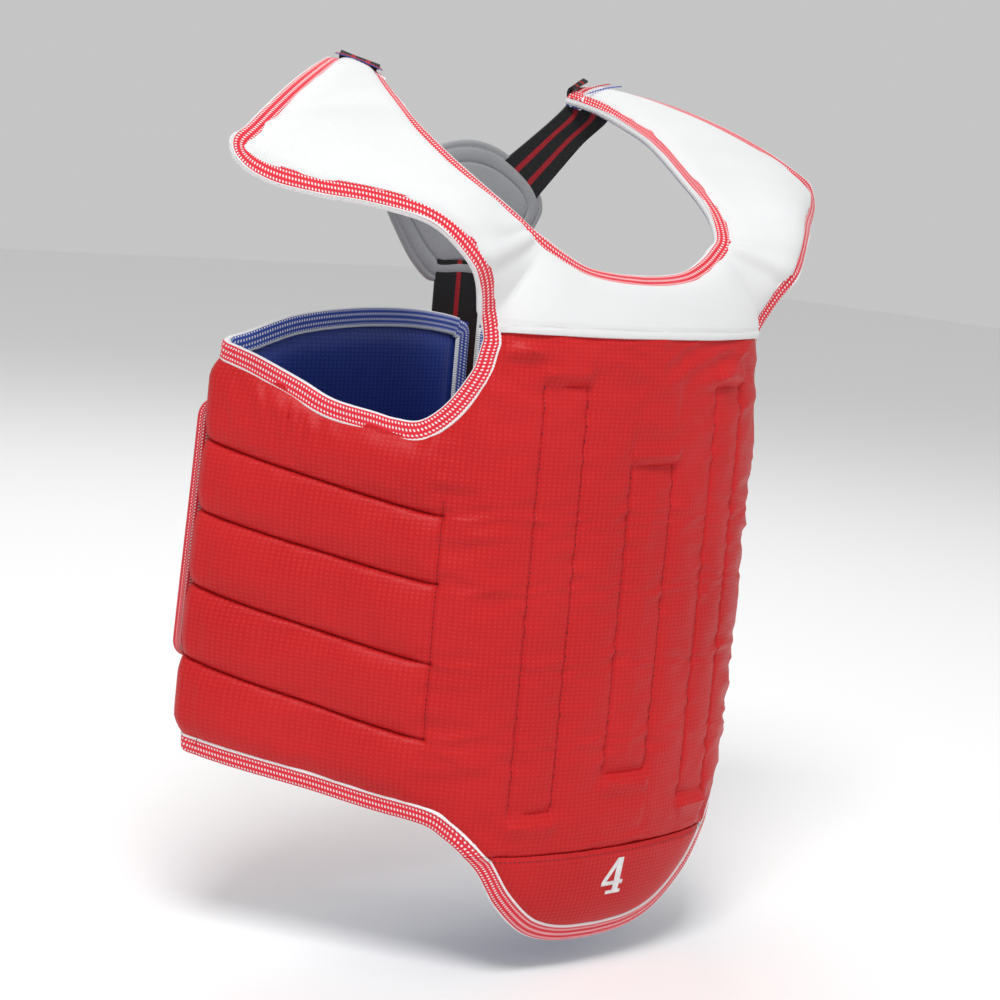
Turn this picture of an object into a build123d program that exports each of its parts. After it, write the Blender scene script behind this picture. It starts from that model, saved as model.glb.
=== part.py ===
"""Reversible foam chest protector for martial arts, closed behind with a hook-and-loop tab.

Frame: +Z is up, the chest faces -Y and the back is at +Y. The wearer's left is +X. X = 0 is the plane of
symmetry, and the origin is in the middle of the chest space. Millimetres.
"""

from build123d import *
from math import cos, hypot, radians, sin
import os

os.makedirs("parts", exist_ok=True)

# ---- wall: plan arcs (centre x, centre y, radius) of the outer face, and where each one ends, in degrees
#      round from straight ahead. The three arcs are tangent to each other.
chest_radius = 330.0
corner_radius = 86.0
flank_radius = 372.0
chest_end = 16.2
corner_end = 47.8
flank_end = 78.0
chest_front = -149.0

# ---- layers
wall_thick = 17.0
yoke_thick = 12.0
cover_thick = 1.0
binding_wide = 11.0
hem_wide = 9.0

# ---- heights
yoke_seam = 131.0
flap_seam = -211.0
foam_split = 50.0        # where the front foam gives way to the side foams, in degrees round
wall_back = 37.0         # the wall stops here, just in front of the fold roll
below = -300.0           # a height below everything, where prisms start
prism_tall = 450.0

# Armhole edge, seen from the side (y, z), from the yoke seam down and back to the fold.
armhole_edge = [(-115, 131), (-110, 104), (-99, 82), (-84, 69), (-60, 71), (-35, 76), (-14, 87), (13, 97), (37, 103)]
# Hem edge, seen from the side, from the end of the groin flap back to the fold.
hem_edge = [(-121, -211), (-115, -201), (-104, -193), (-35, -181), (37, -169)]
# Quilting lines between the side channels: height at the front of the side panel and at the fold.
quilt_lines = [(10, 42), (-34, -4), (-86, -53), (-136, -101)]
quilt_front_y = -103.0

# ---- yoke: each station is a neck-edge point, an outer-edge point, the rise of the outer face between
#      them, and the way that the outer face looks there. The third station is the foot of the armhole.
yoke_stations = [
    ((0, -124, 173), (0, -149, 131), 3, (0, -1, 0.5)),
    ((45, -117, 177), (70, -141, 131), 4, (0.2, -1, 0.5)),
    ((75, -112, 192), (124, -117, 131), 7, (0.5, -1, 0.3)),
    ((90, -100, 205), (148, -128, 169), 8, (0.4, -1, 0.9)),
    ((103, -68, 227), (192, -98, 204), 9, (0.2, -0.6, 1)),
    ((108, -45, 240), (236, -60, 210), 13, (0.2, -0.3, 1)),
    ((110, -16, 258), (268, -32, 231), 16, (0.3, 0, 1)),
    ((105, 12, 272), (215, -3, 270), 10, (0, 0.2, 1)),
    ((96, 38, 283), (165, 32, 291), 5, (-0.1, 0.2, 1)),
    ((84, 59, 289), (120, 81, 300), 2, (-0.1, 0.1, 1)),
]
armhole_station = 2

# ---- groin flap, seen from the front (x, z), its edge from the middle of the hem to the seam
flap_edge = [(0, -280), (31, -278), (55, -273), (72, -264), (92, -243), (115, -213)]
flap_gap = 1.0
flap_bevel = 8.0         # the top of the flap's foam falls away behind its seam by this angle

# ---- back wings
fold_x = 210.0
fold_y = 46.0
fold_radius = 8.0
wing_thick = 12.0
wing_end = 5.0
wing_cover_end = 200.0
wing_top = [(5, 121), (30, 125), (65, 129), (112, 129), (158, 123), (190, 113), (210, 104)]
wing_foot = [(5, -163), (210, -167)]

# ---- closure tab and patches, as layers behind the wings
patch_thick = 1.2
patch_gap = 0.3
tab_left = 60.0
tab_right = -218.0
tab_top = 65.0
tab_foot = -108.0
tab_thick = 4.0
tab_sewn = 12.0
tab_border = 10.0
tail_patch_thick = 1.0
tail_gap = 0.5

# ---- harness
strap_thick = 2.5
strap_wide = 42.0
strap_middle = -3.0
strap_foot = 6.0
pad_front = 60.0
pad_thick = 8.5
pad_edge = [(0, 147), (38, 149), (61, 172), (74, 199), (56, 229), (22, 246), (0, 244)]
shoulder_strap_edge = [(90, 284), (132, 284), (62, 207), (31, 235)]

chest_arc = (0.0, chest_front + chest_radius, chest_radius)


def next_arc(arc, angle, radius):
    """Arc of another radius, tangent to an arc at an angle round from straight ahead."""
    x, y, last_radius = arc
    step = last_radius - radius
    return (x + step * sin(radians(angle)), y - step * cos(radians(angle)), radius)


corner_arc = next_arc(chest_arc, chest_end, corner_radius)
flank_arc = next_arc(corner_arc, corner_end, flank_radius)
wall_arcs = [(chest_arc, 0.0, chest_end), (corner_arc, chest_end, corner_end), (flank_arc, corner_end, flank_end)]


def arc_point(arc, angle, depth, side):
    """Plan point on an arc, a depth in from the outer face, on the left (1) or right (-1)."""
    reach = arc[2] - depth
    return (side * (arc[0] + reach * sin(radians(angle))), arc[1] - reach * cos(radians(angle)))


def arc_line(arc, start, stop, depth, side):
    """Arc of the wall between two angles, drawn in the BuildLine that is open."""
    angles = (start, (start + stop) / 2, stop)
    ThreePointArc(*[arc_point(arc, angle, depth, side) for angle in angles])


def wall_section(outer, inner, stop=flank_end):
    """Plan face of the whole wall between two depths, as far round as an angle on each side."""
    with BuildSketch(Plane.XY.offset(below)) as section:
        with BuildLine():
            for side in (-1, 1):
                for arc, start, end in wall_arcs:
                    if start < stop:
                        arc_line(arc, start, min(end, stop), outer, side)
                        arc_line(arc, start, min(end, stop), inner, side)
                Line(arc_point(flank_arc, stop, outer, side), arc_point(flank_arc, stop, inner, side))
        make_face()
    return section.sketch


def flank_section(outer, inner, side):
    """Plan face of one side panel between two depths, from the front foam to the fold."""
    with BuildSketch(Plane.XY.offset(below)) as section:
        with BuildLine():
            arc_line(flank_arc, foam_split, flank_end, outer, side)
            arc_line(flank_arc, foam_split, flank_end, inner, side)
            for angle in (foam_split, flank_end):
                Line(arc_point(flank_arc, angle, outer, side), arc_point(flank_arc, angle, inner, side))
        make_face()
    return section.sketch


def shifted(points, distance):
    """Open outline moved sideways, to the right of its direction of travel, by a distance."""
    moved = []
    for index, (x, y) in enumerate(points):
        before = points[max(index - 1, 0)]
        after = points[min(index + 1, len(points) - 1)]
        run = hypot(after[0] - before[0], after[1] - before[1])
        moved.append((x + distance * (after[1] - before[1]) / run, y - distance * (after[0] - before[0]) / run))
    return moved


def inner_edge(edge, width, front_height):
    """Inner side of a binding along an edge, ended level with the wall's front seam and at its back."""
    inner = shifted(edge, width)
    inner[0] = (inner[0][0], front_height)
    inner[-1] = (wall_back, inner[-1][1])
    return inner


def side_view(top, foot):
    """Side-view face between a top edge and a foot edge, closed straight ahead of the chest."""
    ahead = chest_front - 10
    with BuildSketch(Plane.YZ) as view:
        with BuildLine():
            Spline(*top)
            Spline(*foot)
            Line(top[-1], foot[-1])
            Polyline(top[0], (ahead, top[0][1]), (ahead, foot[0][1]), foot[0])
        make_face()
    return view.sketch


def band(edge, inner):
    """Side-view face of a binding, between an edge and the inner side of its tape."""
    with BuildSketch(Plane.YZ) as view:
        with BuildLine():
            Spline(*edge)
            Spline(*inner)
            Line(edge[0], inner[0])
            Line(edge[-1], inner[-1])
        make_face()
    return view.sketch


def quilt_height(line, y):
    """Height of a quilting line at a place along the side."""
    front, back = line
    return front + (back - front) * (y - quilt_front_y) / (fold_y - quilt_front_y)


# The armhole binding takes the top of the wall and the hem binding takes its foot: the covers and foams
# fill what is left.
bound_top = inner_edge(armhole_edge, binding_wide, yoke_seam)
bound_foot = inner_edge(hem_edge, -hem_wide, flap_seam)
wall_view = side_view(bound_top, bound_foot)
wall_reach = fold_x + 50


def wall_layer(outer, inner, stop=flank_end):
    """One layer of the wall between its bindings."""
    with BuildPart() as layer:
        extrude(wall_section(outer, inner, stop), amount=prism_tall)
        extrude(wall_view, amount=wall_reach, both=True, mode=Mode.INTERSECT)
    return layer.part


def save(piece, name):
    """Label a finished piece and write it as its own node."""
    piece.label = name
    export_step(piece, f"parts/{name}.step")


foam_outer = cover_thick
foam_inner = wall_thick - cover_thick

# ---- front foam, and the covers that run right round the chest and both sides
save(wall_layer(foam_outer, foam_inner, foam_split), "front_foam")
save(wall_layer(0, foam_outer), "outer_cover")
save(wall_layer(foam_inner, wall_thick), "inner_cover")

# ---- side foams: five quilted channels on each side
channel_tops = [(200, 200)] + quilt_lines
channel_feet = quilt_lines + [(-260, -260)]
channel_front = -130.0
for side, side_name in ((-1, "right"), (1, "left")):
    for number, (top, foot) in enumerate(zip(channel_tops, channel_feet), start=1):
        with BuildPart() as side_foam:
            extrude(flank_section(foam_outer, foam_inner, side), amount=prism_tall + 100)
            extrude(wall_view, amount=wall_reach, both=True, mode=Mode.INTERSECT)
            with BuildSketch(Plane.YZ):
                with BuildLine():
                    Polyline(
                        (channel_front, quilt_height(top, channel_front)),
                        (fold_y, quilt_height(top, fold_y)),
                        (fold_y, quilt_height(foot, fold_y)),
                        (channel_front, quilt_height(foot, channel_front)),
                        close=True,
                    )
                make_face()
            extrude(amount=wall_reach, both=True, mode=Mode.INTERSECT)
        save(side_foam.part, f"{side_name}_side_foam_{number}")

# ---- bindings along the armholes and the hem, the full thickness of the wall
for side, side_name in ((-1, "right"), (1, "left")):
    for name, edge, inner in (("armhole", armhole_edge, bound_top), ("hem", hem_edge, bound_foot)):
        with BuildPart() as binding:
            extrude(wall_section(0, wall_thick), amount=prism_tall)
            extrude(band(edge, inner), amount=side * wall_reach, mode=Mode.INTERSECT)
        save(binding.part, f"{side_name}_{name}_binding")


def station_plane(station, side):
    """Plane of a yoke station: x runs from the neck edge to the outer edge, y looks out of the cover."""
    neck, edge, rise, facing = station
    start = Vector(side * neck[0], neck[1], neck[2])
    across = Vector(side * edge[0], edge[1], edge[2]) - start
    outward = Vector(side * facing[0], facing[1], facing[2])
    return Plane(origin=start, x_dir=across, z_dir=across.cross(outward))


def station_face(station, side, start, stop, outer, inner):
    """Face of a yoke layer at a station: from `start` in from the neck edge to `stop` in from the outer edge.

    A start of None draws only the last `stop` of the station, and a stop of None only the first `start`.
    """
    neck, edge, rise, facing = station
    span = hypot(*[after - before for before, after in zip(neck, edge)])
    radius = (span ** 2 / 4 + rise ** 2) / (2 * rise)
    half = span / radius / 2

    def point(along, depth):
        angle = half * (2 * along / span - 1)
        reach = radius - depth
        return (span / 2 + reach * sin(angle), rise - radius + reach * cos(angle))

    first = span - stop if start is None else start
    last = span if start is None else span - (stop or 0)
    if stop is None:
        first, last = 0, start
    with BuildSketch(station_plane(station, side)) as face:
        with BuildLine():
            ThreePointArc(point(first, outer), point((first + last) / 2, outer), point(last, outer))
            ThreePointArc(point(first, inner), point((first + last) / 2, inner), point(last, inner))
            Line(point(first, outer), point(first, inner))
            Line(point(last, outer), point(last, inner))
        make_face()
    return face.sketch


chest_stations = yoke_stations[:armhole_station + 1]
shoulder_stations = yoke_stations[armhole_station:]


def yoke_layer(side, outer, inner):
    """One layer of a yoke half, between the neck binding and the shoulder binding."""
    with BuildPart() as layer:
        loft([station_face(s, side, binding_wide, 0, outer, inner).face() for s in chest_stations], ruled=True)
        loft([station_face(s, side, binding_wide, binding_wide, outer, inner).face() for s in shoulder_stations],
             ruled=True)
        split(bisect_by=Plane.XY.offset(yoke_seam), keep=Keep.TOP)
    return layer.part


for side, side_name in ((-1, "right"), (1, "left")):
    save(yoke_layer(side, 0, cover_thick), f"{side_name}_yoke_cover")
    save(yoke_layer(side, cover_thick, yoke_thick - cover_thick), f"{side_name}_yoke_foam")
    save(yoke_layer(side, yoke_thick - cover_thick, yoke_thick), f"{side_name}_yoke_lining")
    with BuildPart() as shoulder_binding:
        loft([station_face(s, side, None, binding_wide, 0, yoke_thick).face() for s in shoulder_stations], ruled=True)
        split(bisect_by=Plane.XY.offset(yoke_seam), keep=Keep.TOP)
    save(shoulder_binding.part, f"{side_name}_shoulder_binding")

# ---- neck binding, one tape from shoulder end to shoulder end
with BuildPart() as neck_binding:
    for side in (-1, 1):
        loft([station_face(s, side, binding_wide, None, 0, yoke_thick).face() for s in yoke_stations], ruled=True)
save(neck_binding.part, "neck_binding")

# ---- groin flap: the wall carried on below its seam, cut to the flap's outline
flap_outline = flap_edge[::-1] + [(-x, z) for x, z in flap_edge[1:]]
flap_top = flap_seam - flap_gap


def flap_view(inset):
    """Front-view face of the flap inside a border of a given width."""
    edge = shifted(flap_outline, inset)
    edge[0] = (edge[0][0], flap_top)
    edge[-1] = (edge[-1][0], flap_top)
    with BuildSketch(Plane.XZ) as view:
        with BuildLine():
            Spline(*edge)
            Line(edge[0], edge[-1])
        make_face()
    return view.sketch


def flap_layer(outer, inner, inset):
    """One layer of the flap, its top falling away behind the seam."""
    with BuildPart() as layer:
        extrude(wall_section(outer, inner, foam_split), amount=prism_tall)
        extrude(flap_view(inset), amount=abs(chest_front) + 20, mode=Mode.INTERSECT)
        seam_plane = Plane(origin=(0, chest_front, flap_top), z_dir=(0, sin(radians(flap_bevel)), 1))
        split(bisect_by=seam_plane, keep=Keep.BOTTOM)
    return layer.part


save(flap_layer(foam_outer, foam_inner, hem_wide), "flap_foam")
save(flap_layer(0, foam_outer, hem_wide), "flap_outer_cover")
save(flap_layer(foam_inner, wall_thick, hem_wide), "flap_inner_cover")
flap_whole = flap_layer(0, wall_thick, 0)
flap_filling = flap_layer(0, wall_thick, hem_wide)
with BuildPart() as flap_binding:
    add(flap_whole)
    add(flap_filling, mode=Mode.SUBTRACT)
save(flap_binding.part, "flap_binding")

# ---- back wings: flat panels that turn about a rounded fold at the back corner of each side
wing_front = fold_y - wing_thick / 2
wing_back = fold_y + wing_thick / 2


def wing_view(side, plane, top_inset, foot_inset, end_inset, stop):
    """Wing outline as a face, inside borders at its top, foot and free end, as far out as `stop`."""
    top = [(side * x, z - top_inset) for x, z in wing_top]
    foot = [(side * x, z + foot_inset) for x, z in wing_foot]
    with BuildSketch(plane) as view:
        with BuildLine():
            Spline(*top)
            Line(top[-1], foot[-1])
            Line(foot[-1], foot[0])
            Line(foot[0], top[0])
        make_face()
        with Locations((side * (wing_end + end_inset + stop) / 2, 0)):
            Rectangle(stop - wing_end - end_inset, 2 * prism_tall, mode=Mode.INTERSECT)
    return view.sketch


def wing_layer(side, front, back, stop, inset):
    """Flat layer of a wing between two depths. Inset layers leave room for the binding."""
    margins = (binding_wide, hem_wide, binding_wide) if inset else (0, 0, 0)
    with BuildPart() as layer:
        extrude(wing_view(side, Plane.XZ.offset(-back), *margins, stop), amount=back - front)
    return layer.part


for side, side_name in ((-1, "right"), (1, "left")):
    roll_foot = wing_foot[-1][1]
    roll_top = wing_top[-1][1]
    with BuildPart() as wing_foam:
        add(wing_layer(side, wing_front + cover_thick, wing_back - cover_thick, fold_x, True))
        with BuildSketch(Plane.XY.offset(roll_foot + hem_wide)):
            with Locations((side * fold_x, fold_y)):
                Circle(fold_radius)
        extrude(amount=roll_top - binding_wide - roll_foot - hem_wide)
    save(wing_foam.part, f"{side_name}_wing_foam")
    flat_end = fold_x - fold_radius - 2
    save(wing_layer(side, wing_back - cover_thick, wing_back, flat_end, True), f"{side_name}_wing_outer_cover")
    save(wing_layer(side, wing_front, wing_front + cover_thick, flat_end, True), f"{side_name}_wing_inner_cover")
    with BuildPart() as wing_binding:
        add(wing_layer(side, wing_front, wing_back, fold_x, False))
        add(wing_layer(side, wing_front, wing_back, fold_x, True), mode=Mode.SUBTRACT)
        for base, tall in ((roll_foot, hem_wide), (roll_top - binding_wide, binding_wide)):
            with BuildSketch(Plane.XY.offset(base)):
                with Locations((side * fold_x, fold_y)):
                    Circle(fold_radius)
            extrude(amount=tall)
        add(wing_foam.part, mode=Mode.SUBTRACT)
    save(wing_binding.part, f"{side_name}_wing_binding")

# ---- closure: loop patch on the right wing, and a tab sewn to the left wing that reaches across it
hook_front = wing_back + patch_thick + patch_gap
tab_front = hook_front + patch_thick
tab_back = tab_front + tab_thick
tail_patch_back = tab_back + tail_patch_thick
tail_hook_front = tail_patch_back + tail_gap
strap_front = tail_hook_front + tail_patch_thick


def plate(left, right, foot, top, front, back, corner):
    """Flat plate facing +Y, with rounded corners."""
    with BuildPart() as flat:
        with BuildSketch(Plane.XZ.offset(-back)):
            with Locations(((left + right) / 2, (foot + top) / 2)):
                RectangleRounded(right - left, top - foot, corner)
        extrude(amount=back - front)
    return flat.part


save(plate(-198, -20, -98, 55, wing_back, wing_back + patch_thick, 4), "wing_loop_patch")
save(plate(-204, -24, -94, 51, hook_front, tab_front, 4), "closure_hook_patch")
save(plate(-46, 38, -62, 48, tab_back, tail_patch_back, 4), "tail_loop_patch")

with BuildPart() as closure_tab:
    add(plate(tab_right + tab_border, tab_left, tab_foot + tab_border, tab_top - tab_border, tab_front, tab_back, 2))
    add(plate(tab_sewn, tab_left, tab_foot + tab_border, tab_top - tab_border, wing_back, tab_front, 2))
save(closure_tab.part, "closure_tab")

with BuildPart() as closure_tab_binding:
    add(plate(tab_right, tab_left, tab_foot, tab_top, tab_front, tab_back, 12))
    with BuildSketch(Plane.XZ.offset(-tab_back)):
        with Locations(((tab_right + tab_border + tab_left) / 2, (tab_foot + tab_top) / 2)):
            RectangleRounded(tab_left - tab_right - tab_border, tab_top - tab_foot - 2 * tab_border, 2)
        with Locations((tab_left, (tab_foot + tab_top) / 2)):
            Rectangle(30, tab_top - tab_foot - 2 * tab_border)
    extrude(amount=tab_thick, mode=Mode.SUBTRACT)
save(closure_tab_binding.part, "closure_tab_binding")

# ---- harness: a padded plate between the shoulder blades, hung from the shoulders by two straps
pad_outline = pad_edge[:0:-1] + pad_edge[:1] + [(-x, z) for x, z in pad_edge[1:-1]]
pad_back = pad_front + pad_thick


def pad_layer(front, back):
    """Layer of the back pad between two depths."""
    with BuildPart() as layer:
        with BuildSketch(Plane.XZ.offset(-back)):
            with BuildLine():
                Spline(*pad_outline, periodic=True)
            make_face()
        extrude(amount=back - front)
    return layer.part


save(pad_layer(pad_front, pad_front + cover_thick), "back_pad_inner")
save(pad_layer(pad_front + cover_thick, pad_back - cover_thick), "back_pad_core")
save(pad_layer(pad_back - cover_thick, pad_back), "back_pad_outer")
pad_space = pad_layer(pad_front, pad_back)


def shoulder_end(side):
    """The last two spans of a yoke half at full width and thickness, which its strap is sewn under."""
    with BuildPart() as end:
        loft([station_face(s, side, 0, 0, 0, yoke_thick + 0.3).face() for s in yoke_stations[-3:]], ruled=True)
    return end.part


for side, side_name in ((-1, "right"), (1, "left")):
    with BuildPart() as shoulder_strap:
        with BuildSketch(Plane.XZ.offset(-strap_front - strap_thick)):
            with BuildLine():
                Polyline(*[(side * x, z) for x, z in shoulder_strap_edge], close=True)
            make_face()
        extrude(amount=strap_thick)
        add(pad_space, mode=Mode.SUBTRACT)
        add(shoulder_end(side), mode=Mode.SUBTRACT)
    save(shoulder_strap.part, f"{side_name}_shoulder_strap")

strap_left = strap_middle - strap_wide / 2
with BuildPart() as lower_strap:
    add(plate(strap_left, strap_left + strap_wide, strap_foot, 170, strap_front, strap_front + strap_thick, 2))
    add(pad_space, mode=Mode.SUBTRACT)
save(lower_strap.part, "lower_strap")
save(plate(strap_left + 3, strap_left + strap_wide - 3, 10, 44, tail_hook_front, strap_front, 3), "tail_hook_patch")
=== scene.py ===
import logging
import math
from dataclasses import dataclass
from enum import Enum

import bpy
import numpy as np
from mathutils import Matrix, Vector


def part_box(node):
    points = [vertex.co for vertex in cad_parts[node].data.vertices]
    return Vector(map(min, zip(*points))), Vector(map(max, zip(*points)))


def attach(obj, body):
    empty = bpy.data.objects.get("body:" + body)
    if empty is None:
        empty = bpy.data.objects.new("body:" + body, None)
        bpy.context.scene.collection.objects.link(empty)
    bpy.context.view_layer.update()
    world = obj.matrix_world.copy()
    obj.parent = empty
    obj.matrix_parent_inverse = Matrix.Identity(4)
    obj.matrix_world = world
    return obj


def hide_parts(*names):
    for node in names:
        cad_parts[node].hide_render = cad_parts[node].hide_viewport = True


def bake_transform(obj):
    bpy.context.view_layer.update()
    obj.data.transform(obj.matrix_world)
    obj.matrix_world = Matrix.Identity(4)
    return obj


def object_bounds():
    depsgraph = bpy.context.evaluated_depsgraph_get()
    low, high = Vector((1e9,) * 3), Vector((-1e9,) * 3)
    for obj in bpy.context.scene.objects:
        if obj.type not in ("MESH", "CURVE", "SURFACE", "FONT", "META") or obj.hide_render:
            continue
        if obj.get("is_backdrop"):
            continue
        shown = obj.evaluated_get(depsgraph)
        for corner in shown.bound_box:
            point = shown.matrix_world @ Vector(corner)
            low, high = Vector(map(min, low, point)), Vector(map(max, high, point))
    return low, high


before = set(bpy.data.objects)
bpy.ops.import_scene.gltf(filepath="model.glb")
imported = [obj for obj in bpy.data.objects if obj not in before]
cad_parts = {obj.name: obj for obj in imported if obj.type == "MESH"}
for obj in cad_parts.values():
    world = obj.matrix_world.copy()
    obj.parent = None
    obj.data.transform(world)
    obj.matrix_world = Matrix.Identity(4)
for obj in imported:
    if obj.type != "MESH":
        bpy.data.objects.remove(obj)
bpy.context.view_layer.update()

LOG = logging.getLogger("chest_protector")
MM = 0.001
SETTLING_FRAMES = 24


class Side(Enum):
    """The wearer's side that a piece belongs to, and its sign along X."""

    RIGHT = -1
    LEFT = 1

    @property
    def word(self) -> str:
        """Name of the side as it stands in a piece's name."""
        return self.name.lower()


class Ground(Enum):
    """Colour of the cloth that a face of the guard is made of."""

    RED = (0.50, 0.008, 0.010)
    BLUE = (0.014, 0.040, 0.26)


# Small geometry tools


def smooth_line(points: list, step: float) -> np.ndarray:
    """Pass a smooth line through points and space it evenly.

    Args:
        points: Points in two or three dimensions, in millimetres.
        step: Distance between the line's points, in metres.

    Returns:
        The line's points, in metres.
    """
    knots = np.array(points, float) * MM
    ends = np.vstack([2 * knots[0] - knots[1], knots, 2 * knots[-1] - knots[-2]])
    t = np.linspace(0, 1, 24, endpoint=False)[:, None]
    spans = []
    for a, b, c, d in zip(ends[:-3], ends[1:-2], ends[2:-1], ends[3:]):
        bow, twist = 2 * a - 5 * b + 4 * c - d, 3 * b - a - 3 * c + d
        spans.append(0.5 * (2 * b + (c - a) * t + bow * t**2 + twist * t**3))
    return even_line(np.vstack(spans + [knots[-1:]]), step)


def even_line(line: np.ndarray, step: float) -> np.ndarray:
    """Space the points of a line evenly.

    Args:
        line: Points in a row.
        step: Distance wanted between them.

    Returns:
        The line with even spacing, as near the step as its length allows.
    """
    along = lengths_along(line)
    at = np.linspace(0, along[-1], max(2, int(round(along[-1] / step)) + 1))
    return np.stack([np.interp(at, along, line[:, k]) for k in range(line.shape[1])], axis=1)


def lengths_along(line: np.ndarray) -> np.ndarray:
    """Distance of each point of a line from its start."""
    return np.concatenate([[0], np.cumsum(np.linalg.norm(np.diff(line, axis=0), axis=1))])


def unit(vectors: np.ndarray) -> np.ndarray:
    """Vectors scaled to length one."""
    return vectors / np.maximum(np.linalg.norm(vectors, axis=-1, keepdims=True), 1e-12)


def softened(line: np.ndarray, times: int) -> np.ndarray:
    """Even out a row of points or vectors, keeping its ends.

    Args:
        line: Points or vectors in a row.
        times: How often each one is averaged with its neighbours.

    Returns:
        The evened row.
    """
    line = line.copy()
    for _ in range(times):
        line[1:-1] = (line[:-2] + 2 * line[1:-1] + line[2:]) / 4
    return line


def distance_to(points: np.ndarray, line: np.ndarray) -> np.ndarray:
    """Distance of points from a line of straight runs.

    Args:
        points: Points, in an array of any shape whose last axis is the coordinates.
        line: The line's points.

    Returns:
        The distance of each point, in the points' own shape.
    """
    flat = points.reshape(-1, points.shape[-1])
    best = np.full(len(flat), np.inf)
    for a, b in zip(line[:-1], line[1:]):
        run = b - a
        t = np.clip((flat - a) @ run / max(run @ run, 1e-15), 0, 1)
        best = np.minimum(best, np.linalg.norm(flat - a - t[:, None] * run, axis=1))
    return best.reshape(points.shape[:-1])


def rounding(distance: np.ndarray, width: float) -> np.ndarray:
    """Rise of a padded edge from 0 to 1 over a width, as a quarter circle."""
    return np.sqrt(np.clip(1 - (1 - np.clip(distance / width, 0, 1)) ** 2, 0, 1))


def ease(values: np.ndarray, low: float, high: float) -> np.ndarray:
    """Smooth step from 0 at `low` to 1 at `high`."""
    t = np.clip((values - low) / (high - low), 0, 1)
    return t * t * (3 - 2 * t)


def crowded(count: int, pull: float) -> np.ndarray:
    """Shares from 0 to 1 that crowd towards both ends.

    Args:
        count: Number of steps.
        pull: 0 for even steps, up to 1 for steps that vanish at the ends.

    Returns:
        The shares, one more than the steps.
    """
    even = np.linspace(0, 1, count + 1)
    return even - pull * np.sin(2 * np.pi * even) / (2 * np.pi)


def ripples(across: np.ndarray, along: np.ndarray, pitch: float, length: float, seed: int) -> np.ndarray:
    """Uneven creases, drawn as sharp-crested waves that wander and fade.

    Args:
        across: Place across the creases, in metres.
        along: Place along them.
        pitch: Typical distance between creases.
        length: Typical length of a crease.
        seed: Seed of the pattern.

    Returns:
        A height from about -1 to 1 at each place.
    """
    dice = np.random.default_rng(seed)
    total = np.zeros(np.broadcast(across, along).shape)
    for scale in (1.0, 0.62, 1.55):
        wander = 0.8 * np.sin(2 * np.pi * along / (length * dice.uniform(0.8, 1.3)) + dice.uniform(0, 6.3))
        phase = 2 * np.pi * across / (pitch * scale) + wander + dice.uniform(0, 6.3)
        drift = along / (length * 1.7) + across / (pitch * 7)
        fade = 0.5 + 0.5 * np.sin(2 * np.pi * drift + dice.uniform(0, 6.3))
        total += scale**0.5 * fade * (1 - 2 * np.abs(np.sin(phase / 2)) ** 0.8)
    return total / 2.2


# Mesh building


def activate(obj: bpy.types.Object) -> None:
    """Make one object the only one selected, and active."""
    bpy.ops.object.select_all(action="DESELECT")
    obj.select_set(True)
    bpy.context.view_layer.objects.active = obj


def make_sheet(name: str, points: np.ndarray, uv: np.ndarray) -> bpy.types.Object:
    """Add a grid and shape it to a net of points.

    Args:
        name: Name of the piece.
        points: Rows by columns by three, in metres. Columns crossed with rows face outwards.
        uv: Rows by columns by two, the place of each point on its cloth.

    Returns:
        The sheet, one face thick.
    """
    rows, columns = points.shape[:2]
    bpy.ops.object.select_all(action="DESELECT")
    bpy.ops.mesh.primitive_grid_add(
        x_subdivisions=columns - 1, y_subdivisions=rows - 1, size=1, calc_uvs=True
    )
    sheet = bpy.context.object
    sheet.name = sheet.data.name = name
    sheet.data.vertices.foreach_set("co", points.reshape(-1).astype(np.float32))
    write_uv(sheet, uv.reshape(-1, 2))
    sheet.data.update()
    return sheet


def write_uv(obj: bpy.types.Object, places: np.ndarray) -> None:
    """Give a mesh its cloth places, one per vertex."""
    corners = np.zeros(len(obj.data.loops), np.int32)
    obj.data.loops.foreach_get("vertex_index", corners)
    obj.data.uv_layers[0].data.foreach_set("uv", places[corners].reshape(-1).astype(np.float32))


def apply_modifier(obj: bpy.types.Object, kind: str, **settings: object) -> None:
    """Add a modifier to an object and apply it.

    Args:
        obj: The piece.
        kind: Blender's name of the modifier's type.
        **settings: Values of the modifier.
    """
    activate(obj)
    modifier = obj.modifiers.new(kind.title(), kind)
    for key, value in settings.items():
        setattr(modifier, key, value)
    bpy.ops.object.modifier_apply(modifier=modifier.name)


def close_and_smooth(obj: bpy.types.Object, angle: float = 50.0, merge: float = 0.0) -> None:
    """Point a closed piece's faces outwards and shade it.

    Args:
        obj: The piece.
        angle: Edges sharper than this many degrees stay crisp.
        merge: Distance within which points are joined first, or 0 for none.
    """
    activate(obj)
    bpy.ops.object.mode_set(mode="EDIT")
    bpy.ops.mesh.select_all(action="SELECT")
    if merge:
        bpy.ops.mesh.remove_doubles(threshold=merge)
    bpy.ops.mesh.normals_make_consistent(inside=False)
    bpy.ops.object.mode_set(mode="OBJECT")
    bpy.ops.object.shade_smooth_by_angle(angle=math.radians(angle))


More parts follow.
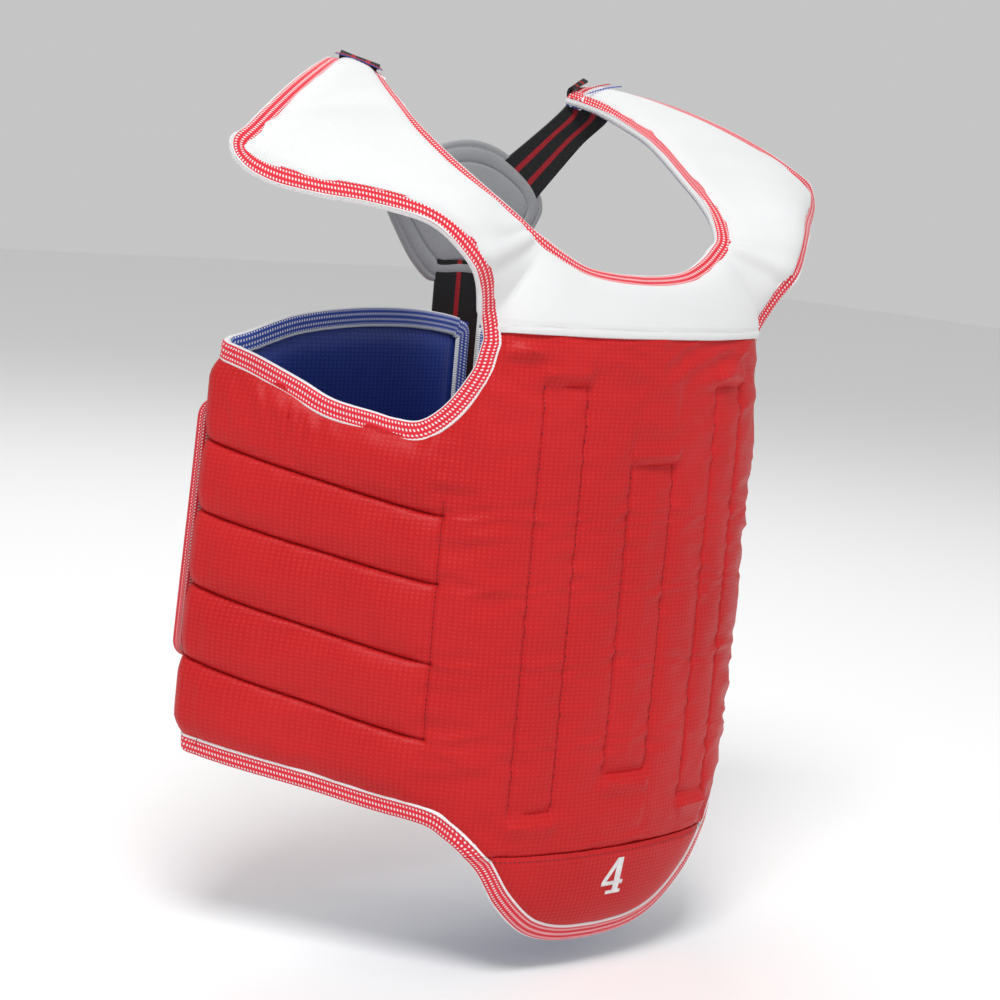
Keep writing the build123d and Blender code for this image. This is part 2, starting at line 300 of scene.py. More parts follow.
def make_slab(name: str, face: np.ndarray, back: np.ndarray, uv: np.ndarray) -> bpy.types.Object:
    """Make a closed pad from the net of its face and the net of its back.

    Args:
        name: Name of the piece.
        face: Rows by columns by three, the outer face.
        back: The same net on the hidden side.
        uv: Place of each point on its cloth.

    Returns:
        The closed piece.
    """
    slab = make_sheet(name, face, uv)
    apply_modifier(slab, "SOLIDIFY", thickness=MM, offset=-1.0)
    both = np.concatenate([face.reshape(-1, 3), back.reshape(-1, 3)])
    slab.data.vertices.foreach_set("co", both.reshape(-1).astype(np.float32))
    write_uv(slab, np.concatenate([uv.reshape(-1, 2)] * 2))
    slab.data.update()
    close_and_smooth(slab)
    return slab


def make_ribbon(name: str, sections: np.ndarray, uv: np.ndarray, thickness: float) -> bpy.types.Object:
    """Make a tape or strap from its cross-sections.

    Args:
        name: Name of the piece.
        sections: Stations along the tape, by points across it, by three.
        uv: The same, by two: distance along the tape in metres, and 0 to 1 across it.
        thickness: Thickness of the tape.

    Returns:
        The closed tape.
    """
    ribbon = make_sheet(name, sections, uv)
    apply_modifier(ribbon, "SOLIDIFY", thickness=thickness, offset=0.0)
    close_and_smooth(ribbon, 60.0)
    return ribbon


def net_uv(sections: np.ndarray) -> np.ndarray:
    """Cloth places for a ribbon: distance along its middle, and 0 to 1 across it."""
    across = sections.shape[1]
    along = lengths_along(sections[:, across // 2])
    return np.stack(np.broadcast_arrays(along[:, None], np.linspace(0, 1, across)[None, :]), axis=2)


@dataclass(frozen=True)
class StitchShape:
    """Size of one stitch of sewing thread."""

    pitch: float = 3.3 * MM
    length: float = 2.0 * MM
    thread: float = 0.75 * MM
    swing: float = 0.0

    def sew(self, name: str, lines: list[tuple[np.ndarray, np.ndarray]]) -> bpy.types.Object:
        """Lay stitches along lines.

        Args:
            name: Name of the piece.
            lines: For each line, its points and the outward direction at each.

        Returns:
            All the stitches as one piece.
        """
        bpy.ops.object.select_all(action="DESELECT")
        bpy.ops.mesh.primitive_uv_sphere_add(segments=6, ring_count=4, radius=0.5)
        stitches = bpy.context.object
        stitches.name = stitches.data.name = name
        count = len(stitches.data.vertices)
        shape = np.zeros(count * 3, np.float32)
        stitches.data.vertices.foreach_get("co", shape)
        shape = shape.reshape(-1, 3) * (self.thread, self.thread, self.length)
        placed = []
        for line, outward in lines:
            along = lengths_along(line)
            at = np.arange(self.pitch / 2, along[-1], self.pitch)
            middle = np.stack([np.interp(at, along, line[:, k]) for k in range(3)], axis=1)
            facing = unit(np.stack([np.interp(at, along, outward[:, k]) for k in range(3)], axis=1))
            ahead = unit(np.gradient(middle, axis=0))
            beside = unit(np.cross(facing, ahead))
            turn = self.swing * np.where(np.arange(len(at)) % 2, 1.0, -1.0)[:, None]
            heading = ahead * np.cos(turn) + beside * np.sin(turn)
            aside = unit(np.cross(facing, heading))
            for m, a, f, h in zip(middle, aside, facing, heading):
                placed.append(m + shape[:, :1] * a + shape[:, 1:2] * f + shape[:, 2:] * h)
        activate(stitches)
        modifier = stitches.modifiers.new("Array", "ARRAY")
        modifier.count = len(placed)
        bpy.ops.object.modifier_apply(modifier=modifier.name)
        stitches.data.vertices.foreach_set("co", np.concatenate(placed).reshape(-1).astype(np.float32))
        stitches.data.update()
        close_and_smooth(stitches, 80.0)
        return stitches


def settle(points: np.ndarray, pinned: np.ndarray, pressure: float, slack: float, cap: float) -> np.ndarray:
    """Let a sewn cover settle under the push of its foam, and report how far it moved.

    Args:
        points: Rows by columns by three, the cover as cut.
        pinned: Rows by columns, from 0 free to 1 held by a seam.
        pressure: Push of the foam.
        slack: Share by which the cloth is larger than its foam.
        cap: Furthest that a point may move.

    Returns:
        The move of each point, rows by columns by three.
    """
    sheet = make_sheet("cover_trial", points, np.zeros(points.shape[:2] + (2,)))
    held = sheet.vertex_groups.new(name="seams")
    weights = pinned.reshape(-1)
    for index in np.flatnonzero(weights > 0.01):
        held.add([int(index)], float(weights[index]), "REPLACE")
    activate(sheet)
    cloth = sheet.modifiers.new("Cloth", "CLOTH")
    settings = cloth.settings
    settings.quality = 6
    settings.mass = 0.25
    settings.tension_stiffness = 25
    settings.compression_stiffness = 25
    settings.shear_stiffness = 12
    settings.bending_stiffness = 0.35
    settings.tension_damping = settings.compression_damping = 12
    settings.air_damping = 3
    settings.shrink_min = -slack
    settings.vertex_group_mass = "seams"
    settings.pin_stiffness = 6
    settings.use_pressure = True
    settings.uniform_pressure_force = pressure
    settings.effector_weights.gravity = 0
    cloth.collision_settings.use_collision = False
    scene = bpy.context.scene
    cloth.point_cache.frame_start = 1
    cloth.point_cache.frame_end = SETTLING_FRAMES
    for moment in range(1, SETTLING_FRAMES + 1):
        scene.frame_set(moment)
    bpy.ops.object.modifier_apply(modifier=cloth.name)
    moved = np.zeros(points.size, np.float32)
    sheet.data.vertices.foreach_get("co", moved)
    bpy.data.objects.remove(sheet)
    scene.frame_set(1)
    move = moved.reshape(points.shape) - points
    size = np.linalg.norm(move, axis=2, keepdims=True)
    return move * np.minimum(1, cap / np.maximum(size, 1e-9))


def dress(
    piece: bpy.types.Object,
    finish: "bpy.types.Material",
    body: str,
    nodes: list[str],
    bend: tuple | None = None,
) -> None:
    """Give a piece its finish, its body when it is stiff, and the CAD nodes that it stands for.

    Args:
        piece: The finished mesh.
        finish: Its material.
        body: Body that it rides on.
        nodes: CAD nodes that it replaces.
        bend: Start and end points of the piece's bend from the vest to the body, or None for a stiff piece; a
            piece with bend points is baked in place without a body and is not bent here.
    """
    piece.data.materials.clear()
    piece.data.materials.append(finish)
    if bend is None:
        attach(piece, body)
    else:
        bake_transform(piece)
    if nodes:
        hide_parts(*nodes)
    LOG.info("%s: %d faces on %s", piece.name, len(piece.data.polygons), body)


# Finishes


class Graph:
    """Short-hand for adding linked nodes to one node tree."""

    def __init__(self, tree: bpy.types.NodeTree) -> None:
        """Keep the tree that nodes are added to."""
        self.tree = tree

    def add(self, kind: str, inputs: dict, **settings: object) -> bpy.types.Node:
        """Add a node.

        Args:
            kind: Blender's name of the node's type.
            inputs: Value or linked socket for each input, by name or number.
            **settings: Properties of the node.

        Returns:
            The node.
        """
        node = self.tree.nodes.new(kind)
        for key, value in settings.items():
            setattr(node, key, value)
        for key, value in inputs.items():
            if isinstance(value, bpy.types.NodeSocket):
                self.tree.links.new(value, node.inputs[key])
            else:
                node.inputs[key].default_value = value
        return node

    def math(
        self, operation: str, first: object, second: object = 0.0, clamp: bool = False
    ) -> bpy.types.NodeSocket:
        """Output of a Math node."""
        inputs = {0: first, 1: second}
        return self.add("ShaderNodeMath", inputs, operation=operation, use_clamp=clamp).outputs[0]

    def step(self, value: object, low: float, high: float) -> bpy.types.NodeSocket:
        """Smooth step of a value, from 0 at `low` to 1 at `high`."""
        inputs = {"Value": value, "From Min": low, "From Max": high}
        return self.add("ShaderNodeMapRange", inputs, interpolation_type="SMOOTHSTEP").outputs[0]

    def blend(self, share: object, first: object, second: object) -> bpy.types.NodeSocket:
        """Mix of two colours."""
        node = self.add("ShaderNodeMix", {0: share, 6: first, 7: second}, data_type="RGBA")
        return node.outputs[2]

    def noise(self, place: object, scale: float, detail: float = 3.0) -> bpy.types.NodeSocket:
        """Noise from 0 to 1 at a place."""
        inputs = {"Vector": place, "Scale": scale, "Detail": detail}
        return self.add("ShaderNodeTexNoise", inputs).outputs[0]


def shared_group(
    name: str, inputs: dict[str, str], outputs: list[str]
) -> tuple[bpy.types.NodeTree, Graph, dict, dict]:
    """Start a shader node group.

    Args:
        name: Name of the group.
        inputs: Socket type of each input.
        outputs: Names of its number outputs.

    Returns:
        The group, a graph on it, its inputs by name, and the group output's sockets by name.
    """
    tree = bpy.data.node_groups.new(name, "ShaderNodeTree")
    for key, kind in inputs.items():
        tree.interface.new_socket(key, in_out="INPUT", socket_type=kind)
    for key in outputs:
        tree.interface.new_socket(key, in_out="OUTPUT", socket_type="NodeSocketFloat")
    source, sink = tree.nodes.new("NodeGroupInput"), tree.nodes.new("NodeGroupOutput")
    return tree, Graph(tree), source.outputs, sink.inputs


def emboss_group() -> bpy.types.NodeTree:
    """Rows of small raised pads, as embossed vinyl has.

    Returns:
        A group whose Height is 1 on a pad and 0 between pads.
    """
    tree, graph, given, result = shared_group(
        "embossed_pads",
        {"Place": "NodeSocketVector", "Across": "NodeSocketFloat", "Up": "NodeSocketFloat"},
        ["Height"],
    )
    parts = graph.add("ShaderNodeSeparateXYZ", {0: given["Place"]}).outputs
    near = []
    for part, pitch in ((parts[0], given["Across"]), (parts[1], given["Up"])):
        cell = graph.math("PINGPONG", graph.math("DIVIDE", part, pitch), 0.5)
        near.append(graph.step(cell, 0.10, 0.30))
    tree.links.new(graph.math("MULTIPLY", near[0], near[1]), result["Height"])
    return tree


def knit_group() -> bpy.types.NodeTree:
    """Staggered holes of a knitted tape.

    Returns:
        A group whose Hole is 1 in each small hole and 0 on the yarn round it.
    """
    tree, graph, given, result = shared_group(
        "knit_holes",
        {"Along": "NodeSocketFloat", "Across": "NodeSocketFloat", "Pitch": "NodeSocketFloat"},
        ["Hole"],
    )
    row = graph.math("DIVIDE", given["Across"], given["Pitch"])
    shift = graph.math("MULTIPLY", graph.math("FLOORED_MODULO", graph.math("FLOOR", row), 2.0), 0.5)
    place = graph.math("ADD", graph.math("DIVIDE", given["Along"], given["Pitch"]), shift)
    side = graph.math("SUBTRACT", graph.math("FRACT", place), 0.5)
    rise = graph.math("SUBTRACT", graph.math("FRACT", row), 0.5)
    slant = graph.math("ADD", side, graph.math("MULTIPLY", rise, 0.45))
    slant_squared = graph.math("POWER", slant, 2.0)
    rise_squared = graph.math("POWER", rise, 2.0)
    reach = graph.math("SQRT", graph.math("ADD", slant_squared, rise_squared))
    tree.links.new(graph.step(reach, 0.33, 0.19), result["Hole"])
    return tree


def weave_group() -> bpy.types.NodeTree:
    """Plain weave of crossing threads.

    Returns:
        A group whose Height runs from 0 between threads to 1 on their crowns.
    """
    tree, graph, given, result = shared_group(
        "plain_weave", {"Place": "NodeSocketVector", "Pitch": "NodeSocketFloat"}, ["Height"]
    )
    parts = graph.add("ShaderNodeSeparateXYZ", {0: given["Place"]}).outputs
    waves = []
    for part in parts[:2]:
        turn = graph.math("MULTIPLY", graph.math("DIVIDE", part, given["Pitch"]), 2 * math.pi)
        waves.append(graph.math("SINE", turn))
    product = graph.math("MULTIPLY", waves[0], waves[1])
    tree.links.new(graph.math("ADD", graph.math("MULTIPLY", product, 0.5), 0.5), result["Height"])
    return tree


class Groups:
    """The node groups that several finishes share, each built once."""

    emboss: bpy.types.NodeTree
    knit: bpy.types.NodeTree
    weave: bpy.types.NodeTree

    @classmethod
    def build(cls) -> None:
        """Build every shared group."""
        cls.emboss, cls.knit, cls.weave = emboss_group(), knit_group(), weave_group()


@dataclass(frozen=True)
class Finish:
    """A surface with its own name, sheen and roughness. Each kind adds its own pattern."""

    name: str
    roughness: float = 0.6
    coat: float = 0.0
    sheen: float = 0.0
    specular: float = 0.5

    def material(self) -> bpy.types.Material:
        """The finish as a material, made the first time that it is asked for."""
        made = bpy.data.materials.get(self.name)
        if made:
            return made
        made = bpy.data.materials.new(self.name)
        made.use_nodes = True
        graph = Graph(made.node_tree)
        shader = made.node_tree.nodes["Principled BSDF"]
        shader.inputs["Roughness"].default_value = self.roughness
        shader.inputs["Coat Weight"].default_value = self.coat
        shader.inputs["Coat Roughness"].default_value = 0.35
        shader.inputs["Sheen Weight"].default_value = self.sheen
        shader.inputs["Specular IOR Level"].default_value = self.specular
        colour, roughness, height, depth = self.pattern(graph)
        made.node_tree.links.new(colour, shader.inputs["Base Color"])
        if roughness is not None:
            made.node_tree.links.new(roughness, shader.inputs["Roughness"])
        bump = graph.add("ShaderNodeBump", {"Height": height, "Distance": depth, "Strength": 1.0})
        made.node_tree.links.new(bump.outputs[0], shader.inputs["Normal"])
        return made

    def pattern(self, graph: Graph) -> tuple:
        """Colour socket, roughness socket or None, height socket and the height's depth in metres.

        Args:
            graph: Node tree of the material.

        Returns:
            Colour socket, roughness socket or None, height socket, and the height's depth in metres.
        """
        raise NotImplementedError


@dataclass(frozen=True)
class EmbossedVinyl(Finish):
    """Soft coated vinyl with rows of small raised pads."""

    ground: Ground = Ground.RED
    across: float = 3.6 * MM
    up: float = 2.8 * MM

    def pattern(self, graph: Graph) -> tuple:
        """Pads painted a little lighter than the ground as a painted highlight, with faint mottling and fine
        grain.

        Args:
            graph: Node tree of the material.

        Returns:
            Colour socket, roughness socket or None, height socket, and the height's depth in metres.
        """
        place = graph.add("ShaderNodeUVMap", {}).outputs[0]
        pads = graph.add("ShaderNodeGroup", {}, node_tree=Groups.emboss)
        graph.tree.links.new(place, pads.inputs["Place"])
        pads.inputs["Across"].default_value = self.across
        pads.inputs["Up"].default_value = self.up
        point = graph.add("ShaderNodeTexCoord", {}).outputs["Object"]
        mottle = graph.noise(point, 9.0)
        grain = graph.noise(point, 900.0, 2.0)
        base = self.ground.value
        dark = (*[0.80 * c for c in base], 1)
        light = (*[min(1, 1.10 * c + 0.010) for c in base], 1)
        ground = graph.blend(mottle, dark, light)
        # raised: painted highlight, the lighter colour the pads get where they catch the light
        raised = (*[min(1, 1.14 * c + 0.016) for c in base], 1)
        colour = graph.blend(graph.math("MULTIPLY", pads.outputs[0], 0.5), ground, raised)
        rough = graph.math("ADD", graph.math("MULTIPLY", mottle, 0.12), self.roughness - 0.06)
        height = graph.math("ADD", pads.outputs[0], graph.math("MULTIPLY", grain, 0.25))
        return colour, rough, height, 0.12 * MM


@dataclass(frozen=True)
class WovenCloth(Finish):
    """Fine plain-woven cloth."""

    tint: tuple = (0.73, 0.735, 0.74)
    pitch: float = 1.5 * MM

    def pattern(self, graph: Graph) -> tuple:
        """Weave with slightly greyer gaps.

        Args:
            graph: Node tree of the material.

        Returns:
            Colour socket, roughness socket or None, height socket, and the height's depth in metres.
        """
        place = graph.add("ShaderNodeUVMap", {}).outputs[0]
        weave = graph.add("ShaderNodeGroup", {}, node_tree=Groups.weave)
        graph.tree.links.new(place, weave.inputs["Place"])
        weave.inputs["Pitch"].default_value = self.pitch
        point = graph.add("ShaderNodeTexCoord", {}).outputs["Object"]
        mottle = graph.noise(point, 14.0)
        dark = (*[0.95 * c for c in self.tint], 1)
        ground = graph.blend(mottle, dark, (*self.tint, 1))
        gap = (*[0.90 * c for c in self.tint], 1)
        colour = graph.blend(graph.math("MULTIPLY", weave.outputs[0], 0.35), ground, gap)
        height = graph.math("ADD", weave.outputs[0], graph.math("MULTIPLY", graph.noise(point, 700.0), 0.5))
        return colour, None, height, 0.10 * MM


@dataclass(frozen=True)
class BindingTape(Finish):
    """Knitted tape folded over an edge: one colour outside, another inside, white where it folds."""

    outside: tuple = (0.68, 0.018, 0.038)
    inside: tuple = (0.030, 0.070, 0.36)
    fold: tuple = (0.80, 0.80, 0.81)
    yarn: tuple = (0.86, 0.86, 0.87)
    wide: float = 26.0 * MM
    pitch: float = 2.1 * MM

    def pattern(self, graph: Graph) -> tuple:
        """White holes on the coloured legs, plain white rib at the fold and at both borders.

        Args:
            graph: Node tree of the material.

        Returns:
            Colour socket, roughness socket or None, height socket, and the height's depth in metres.
        """
        place = graph.add("ShaderNodeUVMap", {}).outputs[0]
        parts = graph.add("ShaderNodeSeparateXYZ", {0: place}).outputs
        along, across = parts[0], parts[1]
        knit = graph.add("ShaderNodeGroup", {}, node_tree=Groups.knit)
        graph.tree.links.new(along, knit.inputs["Along"])
        graph.tree.links.new(graph.math("MULTIPLY", across, self.wide), knit.inputs["Across"])
        knit.inputs["Pitch"].default_value = self.pitch
        legs = graph.blend(graph.step(across, 0.49, 0.51), (*self.outside, 1), (*self.inside, 1))
        from_fold = graph.math("ABSOLUTE", graph.math("SUBTRACT", across, 0.5))
        fold = graph.step(from_fold, 0.085, 0.07)
        border = graph.step(from_fold, 0.375, 0.39)
        plain = graph.math("MAXIMUM", fold, border)
        dotted = graph.blend(graph.math("MULTIPLY", knit.outputs[0], 0.88), legs, (*self.yarn, 1))
        bordered = graph.blend(border, dotted, (*self.yarn, 1))
        colour = graph.blend(fold, bordered, (*self.fold, 1))
        rib = graph.math("SINE", graph.math("MULTIPLY", along, 2 * math.pi / (1.6 * MM)))
        ribs = graph.math("MULTIPLY", graph.math("ADD", graph.math("MULTIPLY", rib, 0.5), 0.5), plain)
        patterned = graph.math("SUBTRACT", 1.0, plain)
        height = graph.math("SUBTRACT", ribs, graph.math("MULTIPLY", knit.outputs[0], patterned))
        return colour, None, height, 0.35 * MM


@dataclass(frozen=True)
class GrainedLeather(Finish):
    """Soft synthetic leather with a pebbled grain."""

    tint: tuple = (0.33, 0.335, 0.345)

    def pattern(self, graph: Graph) -> tuple:
        """Pebbles with darker creases between them.

        Args:
            graph: Node tree of the material.

        Returns:
            Colour socket, roughness socket or None, height socket, and the height's depth in metres.
        """
        point = graph.add("ShaderNodeTexCoord", {}).outputs["Object"]
        inputs = {"Vector": point, "Scale": 900.0}
        cells = graph.add("ShaderNodeTexVoronoi", inputs, feature="DISTANCE_TO_EDGE")
        pebble = graph.step(cells.outputs[0], 0.0, 0.25)
        mottle = graph.noise(point, 30.0)
        ground = graph.blend(mottle, (*[0.86 * c for c in self.tint], 1), (*[1.1 * c for c in self.tint], 1))
        crease = (*[0.7 * c for c in self.tint], 1)
        colour = graph.blend(graph.math("MULTIPLY", graph.math("SUBTRACT", 1.0, pebble), 0.5), ground, crease)
        return colour, None, pebble, 0.12 * MM


@dataclass(frozen=True)
class StripedElastic(Finish):
    """Black ribbed elastic with woven stripes."""

    stripes: tuple = (0.30, 0.67)
    half: float = 0.055
    ground: tuple = (0.010, 0.010, 0.011)
    stripe: tuple = (0.33, 0.010, 0.016)

    def pattern(self, graph: Graph) -> tuple:
        """Cross ribs, with stripes at set places across the width.

        Args:
            graph: Node tree of the material.

        Returns:
            Colour socket, roughness socket or None, height socket, and the height's depth in metres.
        """
        place = graph.add("ShaderNodeUVMap", {}).outputs[0]
        parts = graph.add("ShaderNodeSeparateXYZ", {0: place}).outputs
        mask = None
        for middle in self.stripes:
            away = graph.math("ABSOLUTE", graph.math("SUBTRACT", parts[1], middle))
            line = graph.step(away, self.half + 0.008, self.half - 0.008)
            mask = line if mask is None else graph.math("MAXIMUM", mask, line)
        rib = graph.math("SINE", graph.math("MULTIPLY", parts[0], 2 * math.pi / (1.3 * MM)))
        cord = graph.math("SINE", graph.math("MULTIPLY", parts[1], 2 * math.pi * 34))
        point = graph.add("ShaderNodeTexCoord", {}).outputs["Object"]
        lint = graph.step(graph.noise(point, 1200.0, 1.0), 0.68, 0.80)
        cloth = graph.blend(mask, (*self.ground, 1), (*self.stripe, 1))
        colour = graph.blend(graph.math("MULTIPLY", lint, 0.12), cloth, (0.30, 0.30, 0.32, 1))
        height = graph.math("ADD", rib, graph.math("MULTIPLY", cord, 0.6))
        return colour, None, height, 0.10 * MM


@dataclass(frozen=True)
class Fleece(Finish):
    """Fuzzy hook-and-loop tape, or plain spun thread when it is fine."""

    tint: tuple = (0.014, 0.014, 0.016)
    scale: float = 1500.0

    def pattern(self, graph: Graph) -> tuple:
        """Tangled fibres.

        Args:
            graph: Node tree of the material.

        Returns:
            Colour socket, roughness socket or None, height socket, and the height's depth in metres.
        """
        point = graph.add("ShaderNodeTexCoord", {}).outputs["Object"]
        fuzz = graph.noise(point, self.scale, 4.0)
        dark = (*[0.6 * c for c in self.tint], 1)
        light = (*[min(1.0, 1.35 * c) for c in self.tint], 1)
        return graph.blend(fuzz, dark, light), None, fuzz, 0.25 * MM


RED_VINYL = EmbossedVinyl("red_embossed_vinyl", roughness=0.42, coat=0.0, specular=0.15)
BLUE_VINYL = EmbossedVinyl("blue_embossed_vinyl", roughness=0.42, coat=0.0, specular=0.42, ground=Ground.BLUE)
WHITE_CLOTH = WovenCloth("white_woven_cloth", roughness=0.72, sheen=0.15, specular=0.3)
TAPE = BindingTape("knitted_binding", roughness=0.8, sheen=0.15, specular=0.3)
RED_TAPE = BindingTape(
    "red_knitted_binding", roughness=0.8, sheen=0.15, specular=0.3, inside=(0.68, 0.018, 0.038),
    fold=(0.60, 0.03, 0.045),
)
LEATHER = GrainedLeather("grey_grained_leather", roughness=0.5)
SHOULDER_ELASTIC = StripedElastic("two_striped_elastic", roughness=0.75, specular=0.3)
LOWER_ELASTIC = StripedElastic("one_striped_elastic", roughness=0.75, specular=0.3, stripes=(0.5,), half=0.05)
RED_THREAD = Fleece("dark_red_thread", roughness=0.6, tint=(0.10, 0.003, 0.007), scale=2500.0)
WHITE_THREAD = Fleece("white_thread", roughness=0.6, tint=(0.66, 0.66, 0.65), scale=2500.0)
BRIGHT_THREAD = Fleece("bright_red_thread", roughness=0.6, tint=(0.55, 0.02, 0.03), scale=2500.0)
BLUE_THREAD = Fleece("blue_thread", roughness=0.6, tint=(0.04, 0.08, 0.42), scale=2500.0)
GREY_THREAD = Fleece("grey_thread", roughness=0.6, tint=(0.20, 0.20, 0.21), scale=2500.0)
WHITE_INK = Fleece("white_transfer_print", roughness=0.45, tint=(0.74, 0.74, 0.76), scale=300.0)
HOOK_TAPE = Fleece("black_hook_and_loop", roughness=0.95, sheen=0.4)


# The wall that the chest, sides and back follow


@dataclass(frozen=True)
class WallLine:
    """Plan line of the guard's outer face, walked from the middle of the chest round to the back.

    Three tangent arcs make the chest, its corner and the flank, a small one makes the fold at the back
    corner, and the wing behind it is straight. Places on the wall are given as (along, height).
    """

    front: float = -149 * MM
    flare_top: float = 6 * MM
    flare_foot: float = 16 * MM
    radii: tuple = (330 * MM, 86 * MM, 372 * MM, 13.4 * MM)
    turns: tuple = (16.2, 47.8, 74.1, 180.0)

    def arcs(self) -> list[tuple[float, float, float, float, float]]:
        """Start along the wall, start turn, radius and centre of each arc."""
        found, start, turn = [], 0.0, 0.0
        x, y = 0.0, self.front + self.radii[0]
        for index, (radius, end) in enumerate(zip(self.radii, self.turns)):
            if index:
                step = self.radii[index - 1] - radius
                x, y = x + step * math.sin(turn), y - step * math.cos(turn)
            found.append((start, turn, radius, x, y))
            start, turn = start + radius * (math.radians(end) - turn), math.radians(end)
        found.append((start, turn, 0.0, x, y + self.radii[-1]))
        return found

    @property
    def wing_start(self) -> float:
        """Where the straight wing begins."""
        return self.arcs()[-1][0]

    def place(self, along: np.ndarray, height: np.ndarray, depth: np.ndarray) -> np.ndarray:
        """Points on or under the wall's outer face.

        Args:
            along: Distance round from the middle of the chest, positive on the wearer's left.
            height: Height.
            depth: Depth in from the outer face.

        Returns:
            The points, with three coordinates on a new last axis.
        """
        along, height, depth = np.broadcast_arrays(along, height, depth)
        walked, sign = np.abs(along), np.where(along < 0, -1.0, 1.0)
        x, y = np.zeros(along.shape), np.zeros(along.shape)
        arcs = self.arcs()
        for start, turn, radius, centre_x, centre_y in arcs:
            here = walked >= start
            if radius:
                angle = turn + (walked - start) / radius
                px = centre_x + (radius - depth) * np.sin(angle)
                py = centre_y - (radius - depth) * np.cos(angle)
            else:
                px, py = centre_x - (walked - start), centre_y - depth
            x, y = np.where(here, px, x), np.where(here, py, y)
        window = ease(walked, 215 * MM, 318 * MM) * ease(walked, 400 * MM, 330 * MM)
        x = x + window * self.flare(height)
        return np.stack([sign * x, y, height], axis=-1)

    def flare(self, height: np.ndarray) -> np.ndarray:
        """How far the back corner stands out sideways at a height."""
        return self.flare_top + (self.flare_foot - self.flare_top) * ease(height, 110 * MM, -170 * MM)

    def outward(self, along: np.ndarray) -> np.ndarray:
        """Outward direction of the wall at places along it."""
        along = np.asarray(along, float)
        height = np.zeros(along.shape)
        return unit(self.place(along, height, 0.0) - self.place(along, height, MM))

    def along_at_y(self, y: float) -> float:
        """How far along the wall its outer face reaches a place from front to back, before the fold."""
        walk = np.linspace(0, self.arcs()[3][0], 1500)
        return float(np.interp(y, self.place(walk, walk, 0.0)[:, 1], walk))

    def along_at_wing_x(self, x: float) -> float:
        """How far along the wall a wing reaches a distance from the middle of the back."""
        start, _, _, centre_x, _ = self.arcs()[-1]
        return start + centre_x - x


